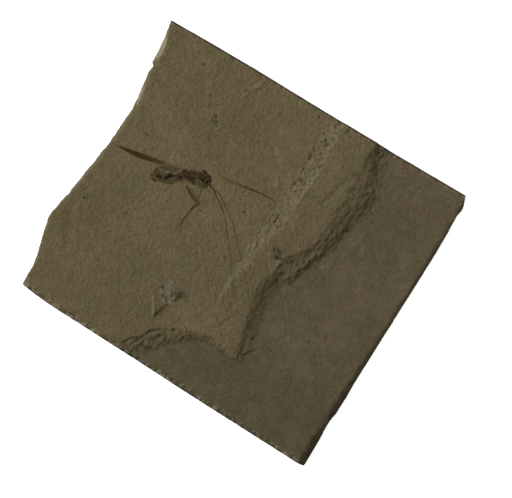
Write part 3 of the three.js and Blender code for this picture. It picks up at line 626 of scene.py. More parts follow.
def bare_stone(tree):
    """The place in millimetres, the clouds and grey shades of the stone with painted light that falls off
    towards the front, and the colour of its upper bed.
    """
    spot = add(tree, "ShaderNodeTexCoord").outputs["Object"]
    place = add(tree, "ShaderNodeMapping", {"Vector": spot, "Scale": (1 / MM,) * 3}).outputs[0]
    clouds = ranged(tree, noise(tree, place, 0.16, 3), 0.35, 0.65)
    shade = ranged(tree, noise(tree, place, 0.35, 3, 0.6), 0.3, 0.7, 0.9, 1.1)
    grain = ranged(tree, noise(tree, place, 1.5, 3, 0.6), 0.25, 0.75, 0.78, 1.22)
    layers = add(tree, "ShaderNodeMapping", {"Vector": place, "Scale": (0.05, 0.05, 1.6)}).outputs[0]
    beds = ranged(tree, noise(tree, layers, 1.0, 3, 0.6), 0.3, 0.7, 0.9, 1.1)
    # Painted light: the stone is paler towards the back and darker towards the front, as the light falls off.
    slope = {0: place, 1: (-0.7, 1, 0)}
    towards_back = add(tree, "ShaderNodeVectorMath", slope, operation="DOT_PRODUCT").outputs["Value"]
    light_falloff = ranged(tree, towards_back, -60, 60, 0.955, 1.045)
    shade = calculated(tree, "MULTIPLY", shade, grain, beds, light_falloff)
    for scale, rarest, largest, tone in SPECKS:
        speck = spots(tree, place, scale, rarest, largest)
        shade = calculated(tree, "MULTIPLY", shade, ranged(tree, speck, 0, 1, 1, tone))
    grey = add(tree, "ShaderNodeCombineColor", {0: shade, 1: shade, 2: shade}).outputs[0]
    return place, clouds, grey, mixed(tree, 1.0, mixed(tree, clouds, OCHRE, OLIVE), grey, "MULTIPLY")


def stone_grain(tree, place, strength):
    """Normal socket of the leathery grain of the bed."""
    fine = {"Height": noise(tree, place, 2.4, 2, 0.6), "Strength": strength, "Distance": 0.07 * MM}
    fine = add(tree, "ShaderNodeBump", fine).outputs[0]
    coarse = {"Height": noise(tree, place, 0.8, 2, 0.6), "Strength": strength, "Distance": 0.4 * MM}
    return add(tree, "ShaderNodeBump", coarse | {"Normal": fine}).outputs[0]


def limestone():
    """Stone of both beds, pale where it is freshly broken, has bruises or has painted light on it, and dark
    where it is soiled or has painted shade on it.
    """
    material, tree, shader = new_material("limestone")
    place, clouds, grey, colour = bare_stone(tree)
    lower_bed = mixed(tree, 1.0, mixed(tree, clouds, LOWER_OCHRE, LOWER_OLIVE), grey, "MULTIPLY")
    colour = mixed(tree, marked(tree, "lower_bed"), colour, lower_bed)
    patchy = ranged(tree, noise(tree, place, 1.1, 4, 0.75), 0.36, 0.68)
    # Pale colour for freshly broken stone and for painted light.
    fresh_and_lit = calculated(tree, "MULTIPLY", marked(tree, "fresh_and_lit"), patchy)
    colour = mixed(tree, fresh_and_lit, colour, mixed(tree, 1.0, FRESH_AND_LIT_STONE, grey, "MULTIPLY"))
    # Pale colour for bruises from the saw, and for painted light on the left side.
    colour = mixed(tree, marked(tree, "bruised_and_lit"), colour, BRUISED_AND_LIT_STONE)
    # Dark colour for soiled places and for painted shade.
    colour = mixed(tree, marked(tree, "dirt_and_shade"), colour, DIRT_AND_SHADE_COLOUR)
    tree.links.new(colour, shader.inputs["Base Color"])
    shader.inputs["Roughness"].default_value = 0.95
    shader.inputs["Specular IOR Level"].default_value = 0.05
    strength = ranged(tree, marked(tree, "lower_bed"), 0, 1, 1, 0.5)
    turn = {"Vector": place, "Rotation": (0, 0, math.radians(50))}
    turned = add(tree, "ShaderNodeMapping", turn).outputs[0]
    streaked = add(tree, "ShaderNodeMapping", {"Vector": turned, "Scale": (0.12, 1.0, 1.0)}).outputs[0]
    streaks = {"Height": noise(tree, streaked, 1.1, 2, 0.5), "Distance": 0.3 * MM}
    streaks |= {"Strength": marked(tree, "streaks"), "Normal": stone_grain(tree, place, strength)}
    tree.links.new(add(tree, "ShaderNodeBump", streaks).outputs[0], shader.inputs["Normal"])
    return material


HOLLOW_CELLS, HOLLOW_DEPTH = 6, 0.12     # how wide and deep the hollows are that get the most painted shade


def top_marks(x, y, z, bruised_and_lit):
    """Marks of the top: where the stone is freshly broken or has painted light on it, has saw bruises, is
    streaked or lower bed, and where it is dirty or has painted shade on it.
    """
    climb, fall = ridge_parts(x, y)
    fade, rear = along(RIDGE_FADE, y), crushed_part(y)
    flank, scarp = np.sin(np.pi * climb), np.sin(np.pi * fall)
    # Pale: the ridge's left side, partly crushed stone and partly painted light where it faces the light, the
    # crushed and crumpled places, and the lines that stand up, as painted highlights
    smooth_pale = 0.8 * flank
    fresh_and_lit = smooth_pale + rear * (along(RIDGE_PALE, climb) - smooth_pale)
    fresh_and_lit = fresh_and_lit * (0.6 + 0.4 * fade) * eased(y, -17, -8) * (1 + 0.8 * chips(x, y, 1.5, 231))
    fresh_and_lit = fresh_and_lit + within(CRUSHED_PATCH, x, y, 0.8) + 0.8 * crumpled(x, y)
    # Dark: stains, painted shade in the sunk lines and the hollows, darkening along the sawn edges, painted
    # shade on both broken sides of the ridge and towards the front of the lower bed, and the dark places,
    # partly soiled and partly painted shade
    stain_and_shade = sum(beside(line, STAIN_WIDTH, x, y) for line in STAINS)
    stain_and_shade = stain_and_shade * (1 - eased(x, 7, 13)) * 0.2
    # Painted light and shade along the lines: raised ones are painted pale as a highlight, sunk ones dark as
    # shade.
    for depth, half_width, line in LINES:
        near_line = beside(line, half_width, x, y)
        if depth < 0:
            fresh_and_lit = fresh_and_lit + 0.9 * near_line
        else:
            stain_and_shade = stain_and_shade + 0.7 * depth * near_line
    # Painted shade in the hollows of the top, darkest where it lies lowest against its neighbours.
    hollow_shade = ((averaged(z, HOLLOW_CELLS) - z) / HOLLOW_DEPTH).clip(0, 1) * (1 - 0.4 * scarp - 0.35 * flank)
    for border in (hollow_shade, hollow_shade.T):
        border[:3], border[-3:] = 0, 0
    to_front, to_back = from_sawn_edges(x, y)
    sawn = 0.85 * (1 - eased(to_front, 0.12, 0.3)) + 0.95 * (1 - eased(to_back, 0.15, 0.5))
    sawn = sawn + 0.5 * (-bruised_and_lit).clip(0, 1)
    # Painted shade on the broken right side and front of the ridge, which face away from the light.
    scarp_shade = scarp * (0.14 + 0.16 * (1 - eased(y, -6, 0)) * eased(y, -30, -25))
    # Painted shade: the lower bed is darker towards the front, where the light falls off.
    front_shade = 0.12 * eased(fall, 0.6, 1) * (1 - eased(y, -36, -8))
    edge = 0.4 * rough(x, y, 1.2, 201)
    # Dark places: soiled stone, and painted shade in pits, beside the flake and on the ridge's broken side.
    soil_and_shade = sum(share * patch(x, y, place, 0.5, 1.3, edge) for *place, share in SOIL_AND_SHADE_PLACES)
    crushed = within(CRUSHED_PATCH, x, y, 0.6) + crumpled(x, y)
    soil_and_shade = soil_and_shade + 0.35 * crushed * (-chips(x, y, 0.8, 221)).clip(0, 1)
    streaks = eased(x, -18, -8) * (1 - eased(x, 10, 14)) * eased(y, -24, -16) * (1 - eased(y, 2, 10))
    return {
        "fresh_and_lit": fresh_and_lit,
        "bruised_and_lit": 0.9 * bruised_and_lit + 0.35 * crushed * chips(x, y, 1.2, 211),
        "streaks": streaks * (0.6 + 0.4 * eased(x, 2, 6)),
        "lower_bed": np.maximum(eased(fall, 0.6, 1), 0.35 * climb * fade),
        "dirt_and_shade": 0.32 * hollow_shade + stain_and_shade + sawn + scarp_shade + soil_and_shade + front_shade,
    }


def side_marks(y, z, side):
    """Marks of the broken sides. The left one, which faces the light, is painted pale as painted light, most
    of all near its top in places; the right one, which faces away from it, is painted dark as painted shade.
    The sawn sides and the underside have none.
    """
    uneven = 0.3 * rough(y, 4 * z, 3, 191)
    # Painted shade on the right side, which faces away from the light, darkest low down.
    right_shade = SIDE_DARK + 1.4 * uneven + 0.5 * (1 - eased(z, 5, 6.8))
    # Painted light near the top of the left side, where it faces the light.
    pale = along(LEFT_PAINTED_LIGHT, y + 2.2 * rough(y, 3 * z, 4, 195))
    pale = pale * (0.15 + 0.85 * eased(z + 1.8 * rough(y, 0 * y, 3, 196), 2.2, 5))
    left_dark = SIDE_DARK * (1 - pale) + uneven
    return {
        # The left side is painted pale all over as painted light, and paler still in the places above.
        "fresh_and_lit": (side < 0) * 0.8,
        "bruised_and_lit": (side < 0) * 0.28 * pale,
        "dirt_and_shade": np.where(side > 0, right_shade, np.where(side < 0, left_dark, 0)),
    }


points, faces, top, side = slab_mesh()
_, side_y, side_z = points[-len(side):].T
on_sides = side_marks(side_y, side_z, side)
marks = {
    mark: np.concatenate([values.ravel(), on_sides.get(mark, 0 * side)]).clip(0, 1)
    for mark, values in top_marks(*top).items()
}
slab = new_piece("limestone_slab", points, faces, limestone(), **marks)
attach(slab, "root")
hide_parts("slab")


# The abdomen
# The insect's hind body, pressed flat and turned to a brown mineral film on the stone: nine faint rings, a
# black gut line that winds along it, and an olive back.

SUNK = 0.3                     # how deep each form reaches into the stone
TUCK = 0.02                    # how far its ends dip below the surface
ABDOMEN_LINE = [(-21, 8.6), (-23.6, 7.9), (-26, 6.6), (-28, 5.6), (-30.6, 4.4), (-31.6, 3.8)]
ABDOMEN_WIDTH = [(0, 2.2), (0.3, 2.9), (0.6, 2.8), (0.85, 2.4), (1, 1.2)]
ABDOMEN_RISE = 0.16
ABDOMEN_RINGS = 9
# Colours of the body's film where it is thin, middling and thick, and what turns them olive
BODY_THIN, BODY_MIDDLE = (0.07, 0.0515, 0.0235, 1), (0.034, 0.0205, 0.0085, 1)
BODY_THICK = (0.007, 0.0045, 0.002, 1)
OLIVE_TINT = (0.96, 1.1, 1.18, 1)
FILM_EDGE = 0.25               # darkness below which a film thins out to bare stone
CRISP = 0.4                    # softness of the edges of gaps and olive places
# Stains in the film of the abdomen, thorax and head: middle x and y, half length, half width, turn in
# degrees, darkness
BODY_STAINS = [
    (-27.3, 7.6, 2.9, 1.4, 24, 0.28), (-25.2, 7.6, 2.4, 1.9, 28, 0.32), (-28.4, 5.2, 2.2, 1.3, 30, 0.44),
    (-25.4, 4.9, 1.7, 0.9, 28, 0.32), (-27.4, 4.2, 1.8, 0.7, 20, 0.36), (-25.3, 5.7, 1.9, 1, 28, 0.38),
    (-28.6, 7.6, 0.9, 0.5, 30, 0.38), (-26.3, 8.7, 1, 0.4, 20, 0.36), (-23.4, 9.3, 0.5, 0.3, 60, 0.75),
    (-24.1, 8.4, 0.6, 0.22, 60, 0.72), (-24.5, 7.5, 0.65, 0.22, 62, 0.75),
    (-25.1, 6.8, 0.65, 0.25, 35, 0.85), (-25.9, 6.4, 1.05, 0.62, 30, 0.95),
    (-26.5, 5.4, 1.1, 0.62, 35, 0.95), (-27.2, 5.5, 0.4, 0.25, 60, 0.6), (-27.7, 4.6, 0.75, 0.42, 10, 0.8),
    (-28.7, 4.5, 0.9, 0.5, 5, 0.72), (-28.2, 6.2, 0.5, 0.3, 25, 0.66), (-30.1, 5.5, 0.42, 0.9, 5, 0.5),
    (-30.4, 3.8, 0.9, 0.45, 0, 0.42), (-29.2, 3, 0.9, 0.5, -20, 0.5), (-31.2, 4.6, 1, 0.9, 0, 0.12),
    (-24, 6.7, 1.3, 1, 30, 0.42), (-23.2, 7.4, 0.55, 0.6, 0, 0.85), (-21.6, 9, 2.6, 1.5, 14, 0.56),
    (-23, 7.8, 1.5, 1.2, 20, 0.5), (-20.5, 10.4, 1.6, 0.8, 8, 0.52), (-22.8, 9.75, 0.5, 0.26, 20, 0.88),
    (-23.1, 9.1, 0.26, 0.4, 0, 0.8), (-21.7, 9.65, 0.5, 0.26, 10, 0.76), (-21.3, 8.3, 0.45, 0.8, 15, 0.68),
    (-22.1, 8.65, 0.5, 0.4, 0, 0.66), (-19.7, 9.2, 0.35, 0.9, 10, 0.76), (-19.3, 8.1, 0.35, 0.6, 20, 0.7),
    (-20.5, 8.6, 1.1, 0.9, 0, 0.6), (-17.9, 10.6, 1.7, 1.1, -15, 0.63), (-18.2, 9.95, 1.1, 0.32, 5, 0.82),
    (-17.2, 9.85, 0.6, 0.3, -5, 1.0), (-16.1, 10.15, 0.28, 0.65, 5, 1.4),
    (-16.95, 11.25, 0.3, 0.5, 10, 0.85), (-16.5, 11.7, 0.9, 0.42, -20, 0.64),
    (-15.6, 10.9, 0.8, 0.42, -55, 0.64), (-15.1, 10, 0.7, 0.36, -65, 0.6), (-17.2, 8.8, 2.2, 1, -3, 0.33),
    (-19, 7.9, 0.6, 0.4, 0, 0.5), (-15.3, 9, 0.4, 0.6, 15, 0.5), (-17.6, 8.9, 0.8, 0.36, -10, 0.5),
    (-16.3, 9.1, 0.5, 0.3, 0, 0.46), (-16.7, 10, 1.3, 1.4, 0, 0.5),
]
# Where the film is missing or thin, with the same numbers, and where it is more olive than brown. Of the
# first, the two small pale places on the head and the pale streak and ring on the abdomen are painted
# highlights
BODY_GAPS_AND_GLINTS = [
    (-17.55, 9.25, 0.32, 0.24, -15, 0.34), (-16.6, 10.55, 0.17, 0.6, 8, 0.14),
    (-27.2, 5.1, 0.32, 0.25, 20, 0.5), (-25.75, 5.7, 0.22, 0.22, 0, 0.45), (-26.6, 6.1, 0.2, 0.16, 0, 0.4),
    (-28.2, 6.2, 1.05, 0.65, 25, 0.22), (-24.7, 8, 1.5, 0.34, 52, 0.28), (-24.8, 5.8, 0.5, 0.35, 20, 0.16),
    (-26.9, 6.9, 0.9, 0.28, 25, 0.24), (-21.8, 7.5, 0.8, 0.35, 25, 0.22), (-20.7, 9.6, 0.5, 0.3, 10, 0.14),
    (-22.4, 10.2, 0.3, 0.3, 0, 0.15), (-22.2, 9, 0.22, 0.3, 0, 0.18),
]
BODY_OLIVE = [
    (-27.2, 5.6, 2.6, 1.4, 25, 1), (-27, 8, 3, 1.2, 25, 0.1), (-25, 8.4, 1.4, 0.7, 40, 0.8),
    (-20.6, 10.8, 1.6, 0.5, 8, 0.3), (-17.2, 8.5, 2.4, 0.9, 0, 1),
]


def path_through(points, steps):
    """Evenly spaced places on a smooth line through the given points."""
    p = np.asarray(points, float)
    p = np.vstack([2 * p[0] - p[1], p, 2 * p[-1] - p[-2]])
    t = np.linspace(0, 1, 12, endpoint=False)[:, None]
    fine = []
    for a, b, c, d in zip(p, p[1:], p[2:], p[3:]):
        fine.append(b + 0.5 * t * (c - a + t * (2 * a - 5 * b + 4 * c - d + t * (3 * b - a - 3 * c + d))))
    fine = np.vstack([*fine, p[-2]])
    run = np.concatenate([[0], np.cumsum(np.hypot(*np.diff(fine, axis=0).T))])
    even = np.linspace(0, run[-1], steps + 1)
    return np.column_stack([np.interp(even, run, fine[:, k]) for k in (0, 1)])


def pressed_form(line, width, rise, steps, sides):
    """Points, faces, and the shares along and across of a low form that follows a line on the stone.

    rise is a function of the shares along (0 to 1) and across (-1 to 1), and of x and y."""
    path = path_through(line, steps)
    forward = np.gradient(path, axis=0)
    forward /= np.hypot(*forward.T)[:, None]
    share = np.linspace(0, 1, steps + 1)[:, None]
    across = np.linspace(-1, 1, sides + 1)[None, :]
    half = along(width, share)
    x = path[:, :1] - forward[:, 1:] * across * half
    y = path[:, 1:] + forward[:, :1] * across * half
    z = top_height(x, y) + rise(share, across, x, y)
    base = np.full((steps + 1, 1), BED - SUNK)
    top = np.stack([x, y, z], -1)
    right = np.stack([x[:, :1], y[:, :1], base], -1)
    left = np.stack([x[:, -1:], y[:, -1:], base], -1)
    rings = np.concatenate([right, top, left], 1)
    count = rings.shape[1]
    grid = np.arange(rings.shape[0] * count).reshape(-1, count)
    turned = np.roll(grid, -1, axis=1)
    quads = np.stack([grid[:-1], grid[1:], turned[1:], turned[:-1]], -1).reshape(-1, 4).tolist()
    ends = [grid[0].tolist(), grid[-1][::-1].tolist()]
    along_marks = np.broadcast_to(share, (steps + 1, count)).ravel()
    across_marks = np.concatenate([[-1], across[0], [1]])
    across_marks = np.broadcast_to(across_marks, (steps + 1, count)).ravel()
    return rings.reshape(-1, 3), quads + ends, along_marks, across_marks


def dome(across):
    """A low arch from edge to edge that dips just below the stone at both edges."""
    return 1.08 * (1 - across**2) ** 0.8 - 0.08


def joined(*forms):
    """Several forms, each points, faces and darkness, as one."""
    points, faces, darkness, count = [], [], [], 0
    for form_points, form_faces, form_dark in forms:
        points.append(form_points)
        faces += [[count + i for i in face] for face in form_faces]
        darkness.append(form_dark)
        count += len(form_points)
    return np.vstack(points), faces, np.concatenate(darkness)


def stained(points, stains, soft=0.55):
    """The darkest of several oval stains with soft, uneven edges."""
    x, y = points[:, 0], points[:, 1]
    edge = 0.16 * rough(x, y, 0.9, 401, 3)
    dark = np.zeros(len(points))
    for *place, darkness in stains:
        dark = np.maximum(dark, darkness * patch(x, y, place, 1 - soft, 1 + soft, edge))
    return dark


def body_dark(points):
    """Darkness of the body's film: its stains less its gaps and its painted highlights."""
    return stained(points, BODY_STAINS) - stained(points, BODY_GAPS_AND_GLINTS, CRISP)


def fossil_film(name, thin, middle, thick):
    """Mineral film that gets deeper in colour with its mark `dark`, ends as bare stone where that is 0, and
    turns from brown to olive with its mark `olive`."""
    material, tree, shader = new_material(name)
    place, _, _, bare = bare_stone(tree)
    blotches = ranged(tree, noise(tree, place, 1.3, 4, 0.7), 0.3, 0.7, 0.8, 1.22)
    worn = calculated(tree, "MULTIPLY", marked(tree, "dark"), blotches)
    ramp = add(tree, "ShaderNodeValToRGB", {0: worn})
    stops = ramp.color_ramp.elements
    stops[0].position, stops[0].color = FILM_EDGE, thin
    stops[1].position, stops[1].color = 1.0, thick
    stops.new(0.62).color = middle
    olive = mixed(tree, 1.0, ramp.outputs[0], OLIVE_TINT, "MULTIPLY")
    film = mixed(tree, marked(tree, "olive"), ramp.outputs[0], olive)
    colour = mixed(tree, ranged(tree, worn, 0.0, FILM_EDGE), bare, film)
    tree.links.new(colour, shader.inputs["Base Color"])
    tree.links.new(ranged(tree, worn, 0.3, 1.0, 0.95, 0.7), shader.inputs["Roughness"])
    shader.inputs["Specular IOR Level"].default_value = 0.02
    wrinkles = {"Height": noise(tree, place, 2.6, 3, 0.6), "Strength": 1.0, "Distance": 0.05 * MM}
    wrinkles |= {"Normal": stone_grain(tree, place, 0.6)}
    tree.links.new(add(tree, "ShaderNodeBump", wrinkles).outputs[0], shader.inputs["Normal"])
    return material


def abdomen_rise(share, across, x, y):
    """Height of the abdomen above the stone: overlapping rings, crushed unevenly."""
    ring = (share * ABDOMEN_RINGS) % 1
    plates = 0.9 + 0.1 * np.minimum(ring / 0.8, (1 - ring) / 0.2)
    crushed = 1 + 0.5 * rough(x, y, 1.4, 411)
    ends = eased(share, 0, 0.1) * (1 - eased(share, 0.75, 1))
    return ABDOMEN_RISE * plates * crushed * dome(across) * ends - TUCK * (1 - ends)


body_film = fossil_film("fossil_body", BODY_THIN, BODY_MIDDLE, BODY_THICK)
points, faces, _, _ = pressed_form(ABDOMEN_LINE, ABDOMEN_WIDTH, abdomen_rise, steps=170, sides=50)
dark, olive = body_dark(points).clip(0, 1), stained(points, BODY_OLIVE, CRISP)
abdomen = new_piece("abdomen", points, faces, body_film, dark=dark, olive=olive)
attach(abdomen, "root")
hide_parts("insect")


# The thorax and head
# The thickest part of the film, dark reddish brown: the crushed thorax, the head with one black eye and an
# olive lower face, and a mouthpart that stands out above it.

THORAX_LINE = [(-24.4, 8.2), (-22.3, 8.9), (-20.2, 9.4), (-18.2, 9.8), (-16.4, 9.9), (-14.9, 9.7)]
THORAX_WIDTH = [(0, 1.4), (0.2, 2.2), (0.5, 2.3), (0.8, 2.6), (0.92, 2.2), (1, 1)]
THORAX_RISE = 0.22
# The raised eye and the bar behind it: middle x and y, half length, half width, turn in degrees
EYE = (-16.2, 10.2, 0.45, 0.9, 0)
BAR = (-18.2, 9.95, 1.1, 0.35, 8)
EYE_RISE, BAR_RISE = 0.1, 0.08
MOUTHPART_LINE = [(-19.1, 12.4), (-18.3, 12.2), (-17.4, 11.85), (-16.8, 11.5)]
MOUTHPART_WIDTH = [(0, 0.3), (0.4, 0.58), (1, 0.5)]
MOUTHPART_RISE = 0.22
MOUTHPART_OLIVE = (-18.2, 12.2, 1.2, 0.6, -10, 0.8)


def thorax_rise(share, across, x, y):
    """Height of the thorax and head above the stone."""
    crushed = 1 + 0.55 * rough(x, y, 1.5, 421)
    ends = eased(share, 0, 0.12) * (1 - eased(share, 0.85, 1))
    eye, bar = EYE_RISE * patch(x, y, EYE, 0.3, 1.1), BAR_RISE * patch(x, y, BAR, 0.3, 1.2)
    return THORAX_RISE * crushed * dome(across) * ends - TUCK * (1 - ends) + eye + bar


def mouthpart_rise(share, across, x, y):
    """Height of the mouthpart above the stone, lowest at both of its ends."""
    return MOUTHPART_RISE * dome(across) * eased(share, 0, 0.3) * (1 - eased(share, 0.8, 1))


points, faces, _, _ = pressed_form(THORAX_LINE, THORAX_WIDTH, thorax_rise, steps=160, sides=70)
thorax = points, faces, body_dark(points)
points, faces, share, across = pressed_form(
    MOUTHPART_LINE, MOUTHPART_WIDTH, mouthpart_rise, steps=24, sides=16)
dark = 0.72 * (1 - eased(abs(across), 0.5, 1.1)) * eased(share, -0.1, 0.2)
mouthpart = points, faces, dark * (1 - 0.5 * eased(share, 0.5, 0.8))
points, faces, dark = joined(thorax, mouthpart)
olive = stained(points, [*BODY_OLIVE, MOUTHPART_OLIVE], CRISP)
head = new_piece("thorax_and_head", points, faces, body_film, dark=dark.clip(0, 1), olive=olive)
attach(head, "root")
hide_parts("insect")


# The near wing
# A long narrow wing, seen nearly edge on and pressed on the stone behind the body: a golden brown film with
# straight veins, darkest in its outer half, that fades away towards the thorax.

NEAR_WING_LINE = [
    (-24.5, 9.9), (-27, 9.2), (-29.5, 8.38), (-30.5, 8.08), (-32, 7.74), (-34, 7.27), (-36, 6.88),
    (-38, 6.55), (-40, 6.28), (-42, 6.02), (-43.6, 5.76),
]
NEAR_WING_WIDTH = [
    (0, 0.34), (0.24, 0.46), (0.32, 0.6), (0.4, 0.72), (0.5, 0.8), (0.6, 0.84), (0.7, 0.72), (0.82, 0.5),
    (0.92, 0.32), (1, 0.12),
]
NEAR_WING_DARK = [
    (0, 0), (0.12, 0.12), (0.22, 0.16), (0.28, 0.4), (0.34, 0.54), (0.5, 0.56), (0.58, 0.64), (0.7, 0.64),
    (0.8, 0.6), (0.88, 0.56), (0.94, 0.36), (1, 0.12),
]
WING_RISE = 0.09
WING_THIN, WING_MIDDLE = (0.083, 0.057, 0.025, 1), (0.038, 0.0235, 0.0065, 1)
WING_THICK = (0.02, 0.012, 0.004, 1)


def wing_rise(share, across, x, y):
    """Height of a wing above the stone, with straight veins along it."""
    veins = 0.8 + 0.2 * np.cos(across * 3 * np.pi) ** 2
    return WING_RISE * veins * dome(across)


wing_film = fossil_film("fossil_wing", WING_THIN, WING_MIDDLE, WING_THICK)
points, faces, share, across = pressed_form(NEAR_WING_LINE, NEAR_WING_WIDTH, wing_rise, steps=170, sides=18)
dark = along(NEAR_WING_DARK, share) * (1 - 0.6 * eased(abs(across), 0.65, 1))
near_wing = new_piece("near_wing", points, faces, wing_film, dark=dark)
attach(near_wing, "root")
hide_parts("insect")


# The legs
# A hind leg bent at a swollen knee, with its foot and a spur, and one thin front leg. Both are thin, patchy
# film that was pressed flat along with the body.

# The lengths of the legs: line, half widths, rise, darkness along it
LEGS = [
    ([(-20.9, 6.4), (-20.1, 5.95), (-19, 5.4), (-18, 4.85), (-17, 4.3), (-16, 4)],
     [(0, 0.3), (0.4, 0.62), (0.8, 0.6), (1, 0.5)], 0.08, [(0, 0.15), (0.2, 0.34), (1, 0.34)]),
    ([(-19.2, 6.2), (-18, 5.5), (-17, 5), (-16, 4.6)], [(0, 0.3), (1, 0.45)], 0.05, [(0, 0.08), (1, 0.26)]),
    ([(-16.3, 4.4), (-15.7, 4.1), (-15.45, 3.3), (-15.8, 2.4)], [(0, 0.3), (0.4, 0.8), (0.7, 0.74), (1, 0.4)],
     0.1, [(0, 0.28), (1, 0.36)]),
    ([(-15.75, 2.9), (-15.95, 1.8), (-16.1, 0.6), (-16.2, -0.8), (-16.4, -2.1), (-16.4, -3.2), (-16.2, -4)],
     [(0, 0.45), (0.3, 0.32), (1, 0.25)], 0.07, [(0, 0.36), (0.4, 0.28), (0.8, 0.34), (1, 0.26)]),
    ([(-16.3, -3.7), (-15.9, -4.6), (-15.6, -5.2), (-15.2, -6.1)], [(0, 0.24), (1, 0.16)], 0.05,
     [(0, 0.28), (0.6, 0.24), (1, 0.08)]),
    ([(-16.4, -3.9), (-17.1, -4.2), (-16.8, -5.3), (-16.5, -5.9)], [(0, 0.16), (1, 0.12)], 0.04,
     [(0, 0.2), (0.6, 0.26), (1, 0.08)]),
    ([(-16.6, 7.5), (-16.3, 7), (-16.1, 6.2), (-16.15, 5.5), (-15.7, 4.9)],
     [(0, 0.18), (0.4, 0.28), (1, 0.34)], 0.05, [(0, 0.3), (1, 0.3)]),
]
LEG_STAINS = [
    (-20.2, 5.9, 0.38, 0.32, 0, 0.62), (-18.95, 5.3, 0.5, 0.28, -25, 0.66),
    (-17.6, 4.55, 0.55, 0.28, -30, 0.62), (-16.4, 3.95, 0.38, 0.3, -20, 0.72),
    (-16.3, 7.05, 0.2, 0.2, 0, 0.6), (-16.1, 5.8, 0.22, 0.5, 0, 0.44), (-15.95, 1.75, 0.22, 0.42, 0, 0.68),
    (-16.45, -2.1, 0.18, 0.42, 15, 0.66), (-16.35, -3.1, 0.18, 0.4, 0, 0.5),
    (-15.4, 3.6, 0.4, 0.8, 0, 0.38), (-15.6, -5.1, 0.15, 0.5, 30, 0.36),
]


def leg(line, width, rise, darkness):
    """Points, faces and darkness of one length of leg."""
    def leg_rise(share, across, x, y):
        """Height above the stone, lower towards the far end."""
        return rise * dome(across) * (1 - 0.3 * share)

    points, faces, share, across = pressed_form(line, width, leg_rise, steps=60, sides=10)
    patchy = 1 + 0.35 * rough(points[:, 0], points[:, 1], 1.0, 431)
    dark = np.maximum(along(darkness, share) * patchy, stained(points, LEG_STAINS))
    return points, faces, dark * (1 - 0.6 * across**2)


points, faces, dark = joined(*[leg(*length) for length in LEGS])
legs = new_piece("legs", points, faces, body_film, dark=dark.clip(0, 1))
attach(legs, "root")
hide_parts("insect")


# The antennae
# Two very long threads of hundreds of short joints, which sweep forwards and down towards the ridge and fade
# on the way. Each is a chain of flat beads along its path.

ANTENNA_LINES = [
    [(-15.3, 10.1), (-14.5, 9.55), (-13.4, 9.4), (-12, 9.25), (-11, 8.85), (-10, 8.25), (-8.6, 7.2),
     (-6.4, 5.7), (-4.4, 4.3), (-2.8, 2.7), (-1.2, 1.3), (0.5, -0.75), (2.9, -3.2)],
    [(-15.2, 9.9), (-14.4, 9.4), (-13.3, 9.1), (-12, 8.2), (-10, 6.8), (-8, 5.25), (-6.1, 3.4), (-4.4, 1.4),
     (-2.8, -0.6), (-1.5, -2.2), (0, -4), (1.9, -7)],
]
ANTENNA_JOINT = 0.15           # length of a joint
ANTENNA_LIFT = 0.02            # how far its middle lies above the stone
ANTENNA_RADIUS = [(0, 0.24), (0.08, 0.17), (0.4, 0.14), (1, 0.12)]
ANTENNA_DARK = [
    (0, 0.46), (0.08, 0.4), (0.3, 0.38), (0.36, 0.2), (0.45, 0.1), (0.5, 0.18), (0.62, 0.25), (0.72, 0.18),
    (0.9, 0.18), (1, 0.1),
]


def beads_on_points(material):
    """A flat bead on each point, in proportion to its mark `radius`, turned to its mark `heading`."""
    tree = bpy.data.node_groups.new("beads_on_points", "GeometryNodeTree")
    tree.interface.new_socket("Geometry", in_out="INPUT", socket_type="NodeSocketGeometry")
    for name in ("Bead Length", "Bead Height"):
        tree.interface.new_socket(name, in_out="INPUT", socket_type="NodeSocketFloat").default_value = 1.0
    tree.interface.new_socket("Geometry", in_out="OUTPUT", socket_type="NodeSocketGeometry")
    given, result = tree.nodes.new("NodeGroupInput"), tree.nodes.new("NodeGroupOutput")

    def named(name):
        """Value socket of a mark on the points."""
        return add(tree, "GeometryNodeInputNamedAttribute", {"Name": name}, data_type="FLOAT").outputs[0]

    bead = add(tree, "GeometryNodeMeshUVSphere", {"Segments": 8, "Rings": 5, "Radius": 1.0}).outputs["Mesh"]
    radius = named("radius")
    length = calculated(tree, "MULTIPLY", radius, given.outputs[1])
    height = calculated(tree, "MULTIPLY", radius, given.outputs[2])
    size = add(tree, "ShaderNodeCombineXYZ", {0: length, 1: radius, 2: height}).outputs[0]
    turn = add(tree, "ShaderNodeCombineXYZ", {2: named("heading")}).outputs[0]
    rotation = add(tree, "FunctionNodeEulerToRotation", {0: turn}).outputs[0]
    placed = {"Points": given.outputs[0], "Instance": bead, "Rotation": rotation, "Scale": size}
    beads = add(tree, "GeometryNodeInstanceOnPoints", placed).outputs[0]
    solid = add(tree, "GeometryNodeRealizeInstances", {0: beads}).outputs[0]
    painted = add(tree, "GeometryNodeSetMaterial", {"Geometry": solid, "Material": material}).outputs[0]
    tree.links.new(painted, result.inputs[0])
    return tree


def grown(name, points, tree, sizes, **marks):
    """Runs a tree on loose points and keeps its result as a plain mesh piece."""
    piece = new_piece(name, points, [], tree.nodes["Set Material"].inputs["Material"].default_value, **marks)
    modifier = piece.modifiers.new(name, "NODES")
    modifier.node_group = tree
    for item in tree.interface.items_tree:
        if item.in_out == "INPUT" and item.name in sizes:
            modifier[item.identifier] = sizes[item.name]
    seen = piece.evaluated_get(bpy.context.evaluated_depsgraph_get())
    mesh = bpy.data.meshes.new_from_object(seen)
    piece.modifiers.clear()
    piece.data = mesh
    mesh.shade_smooth()
    return piece


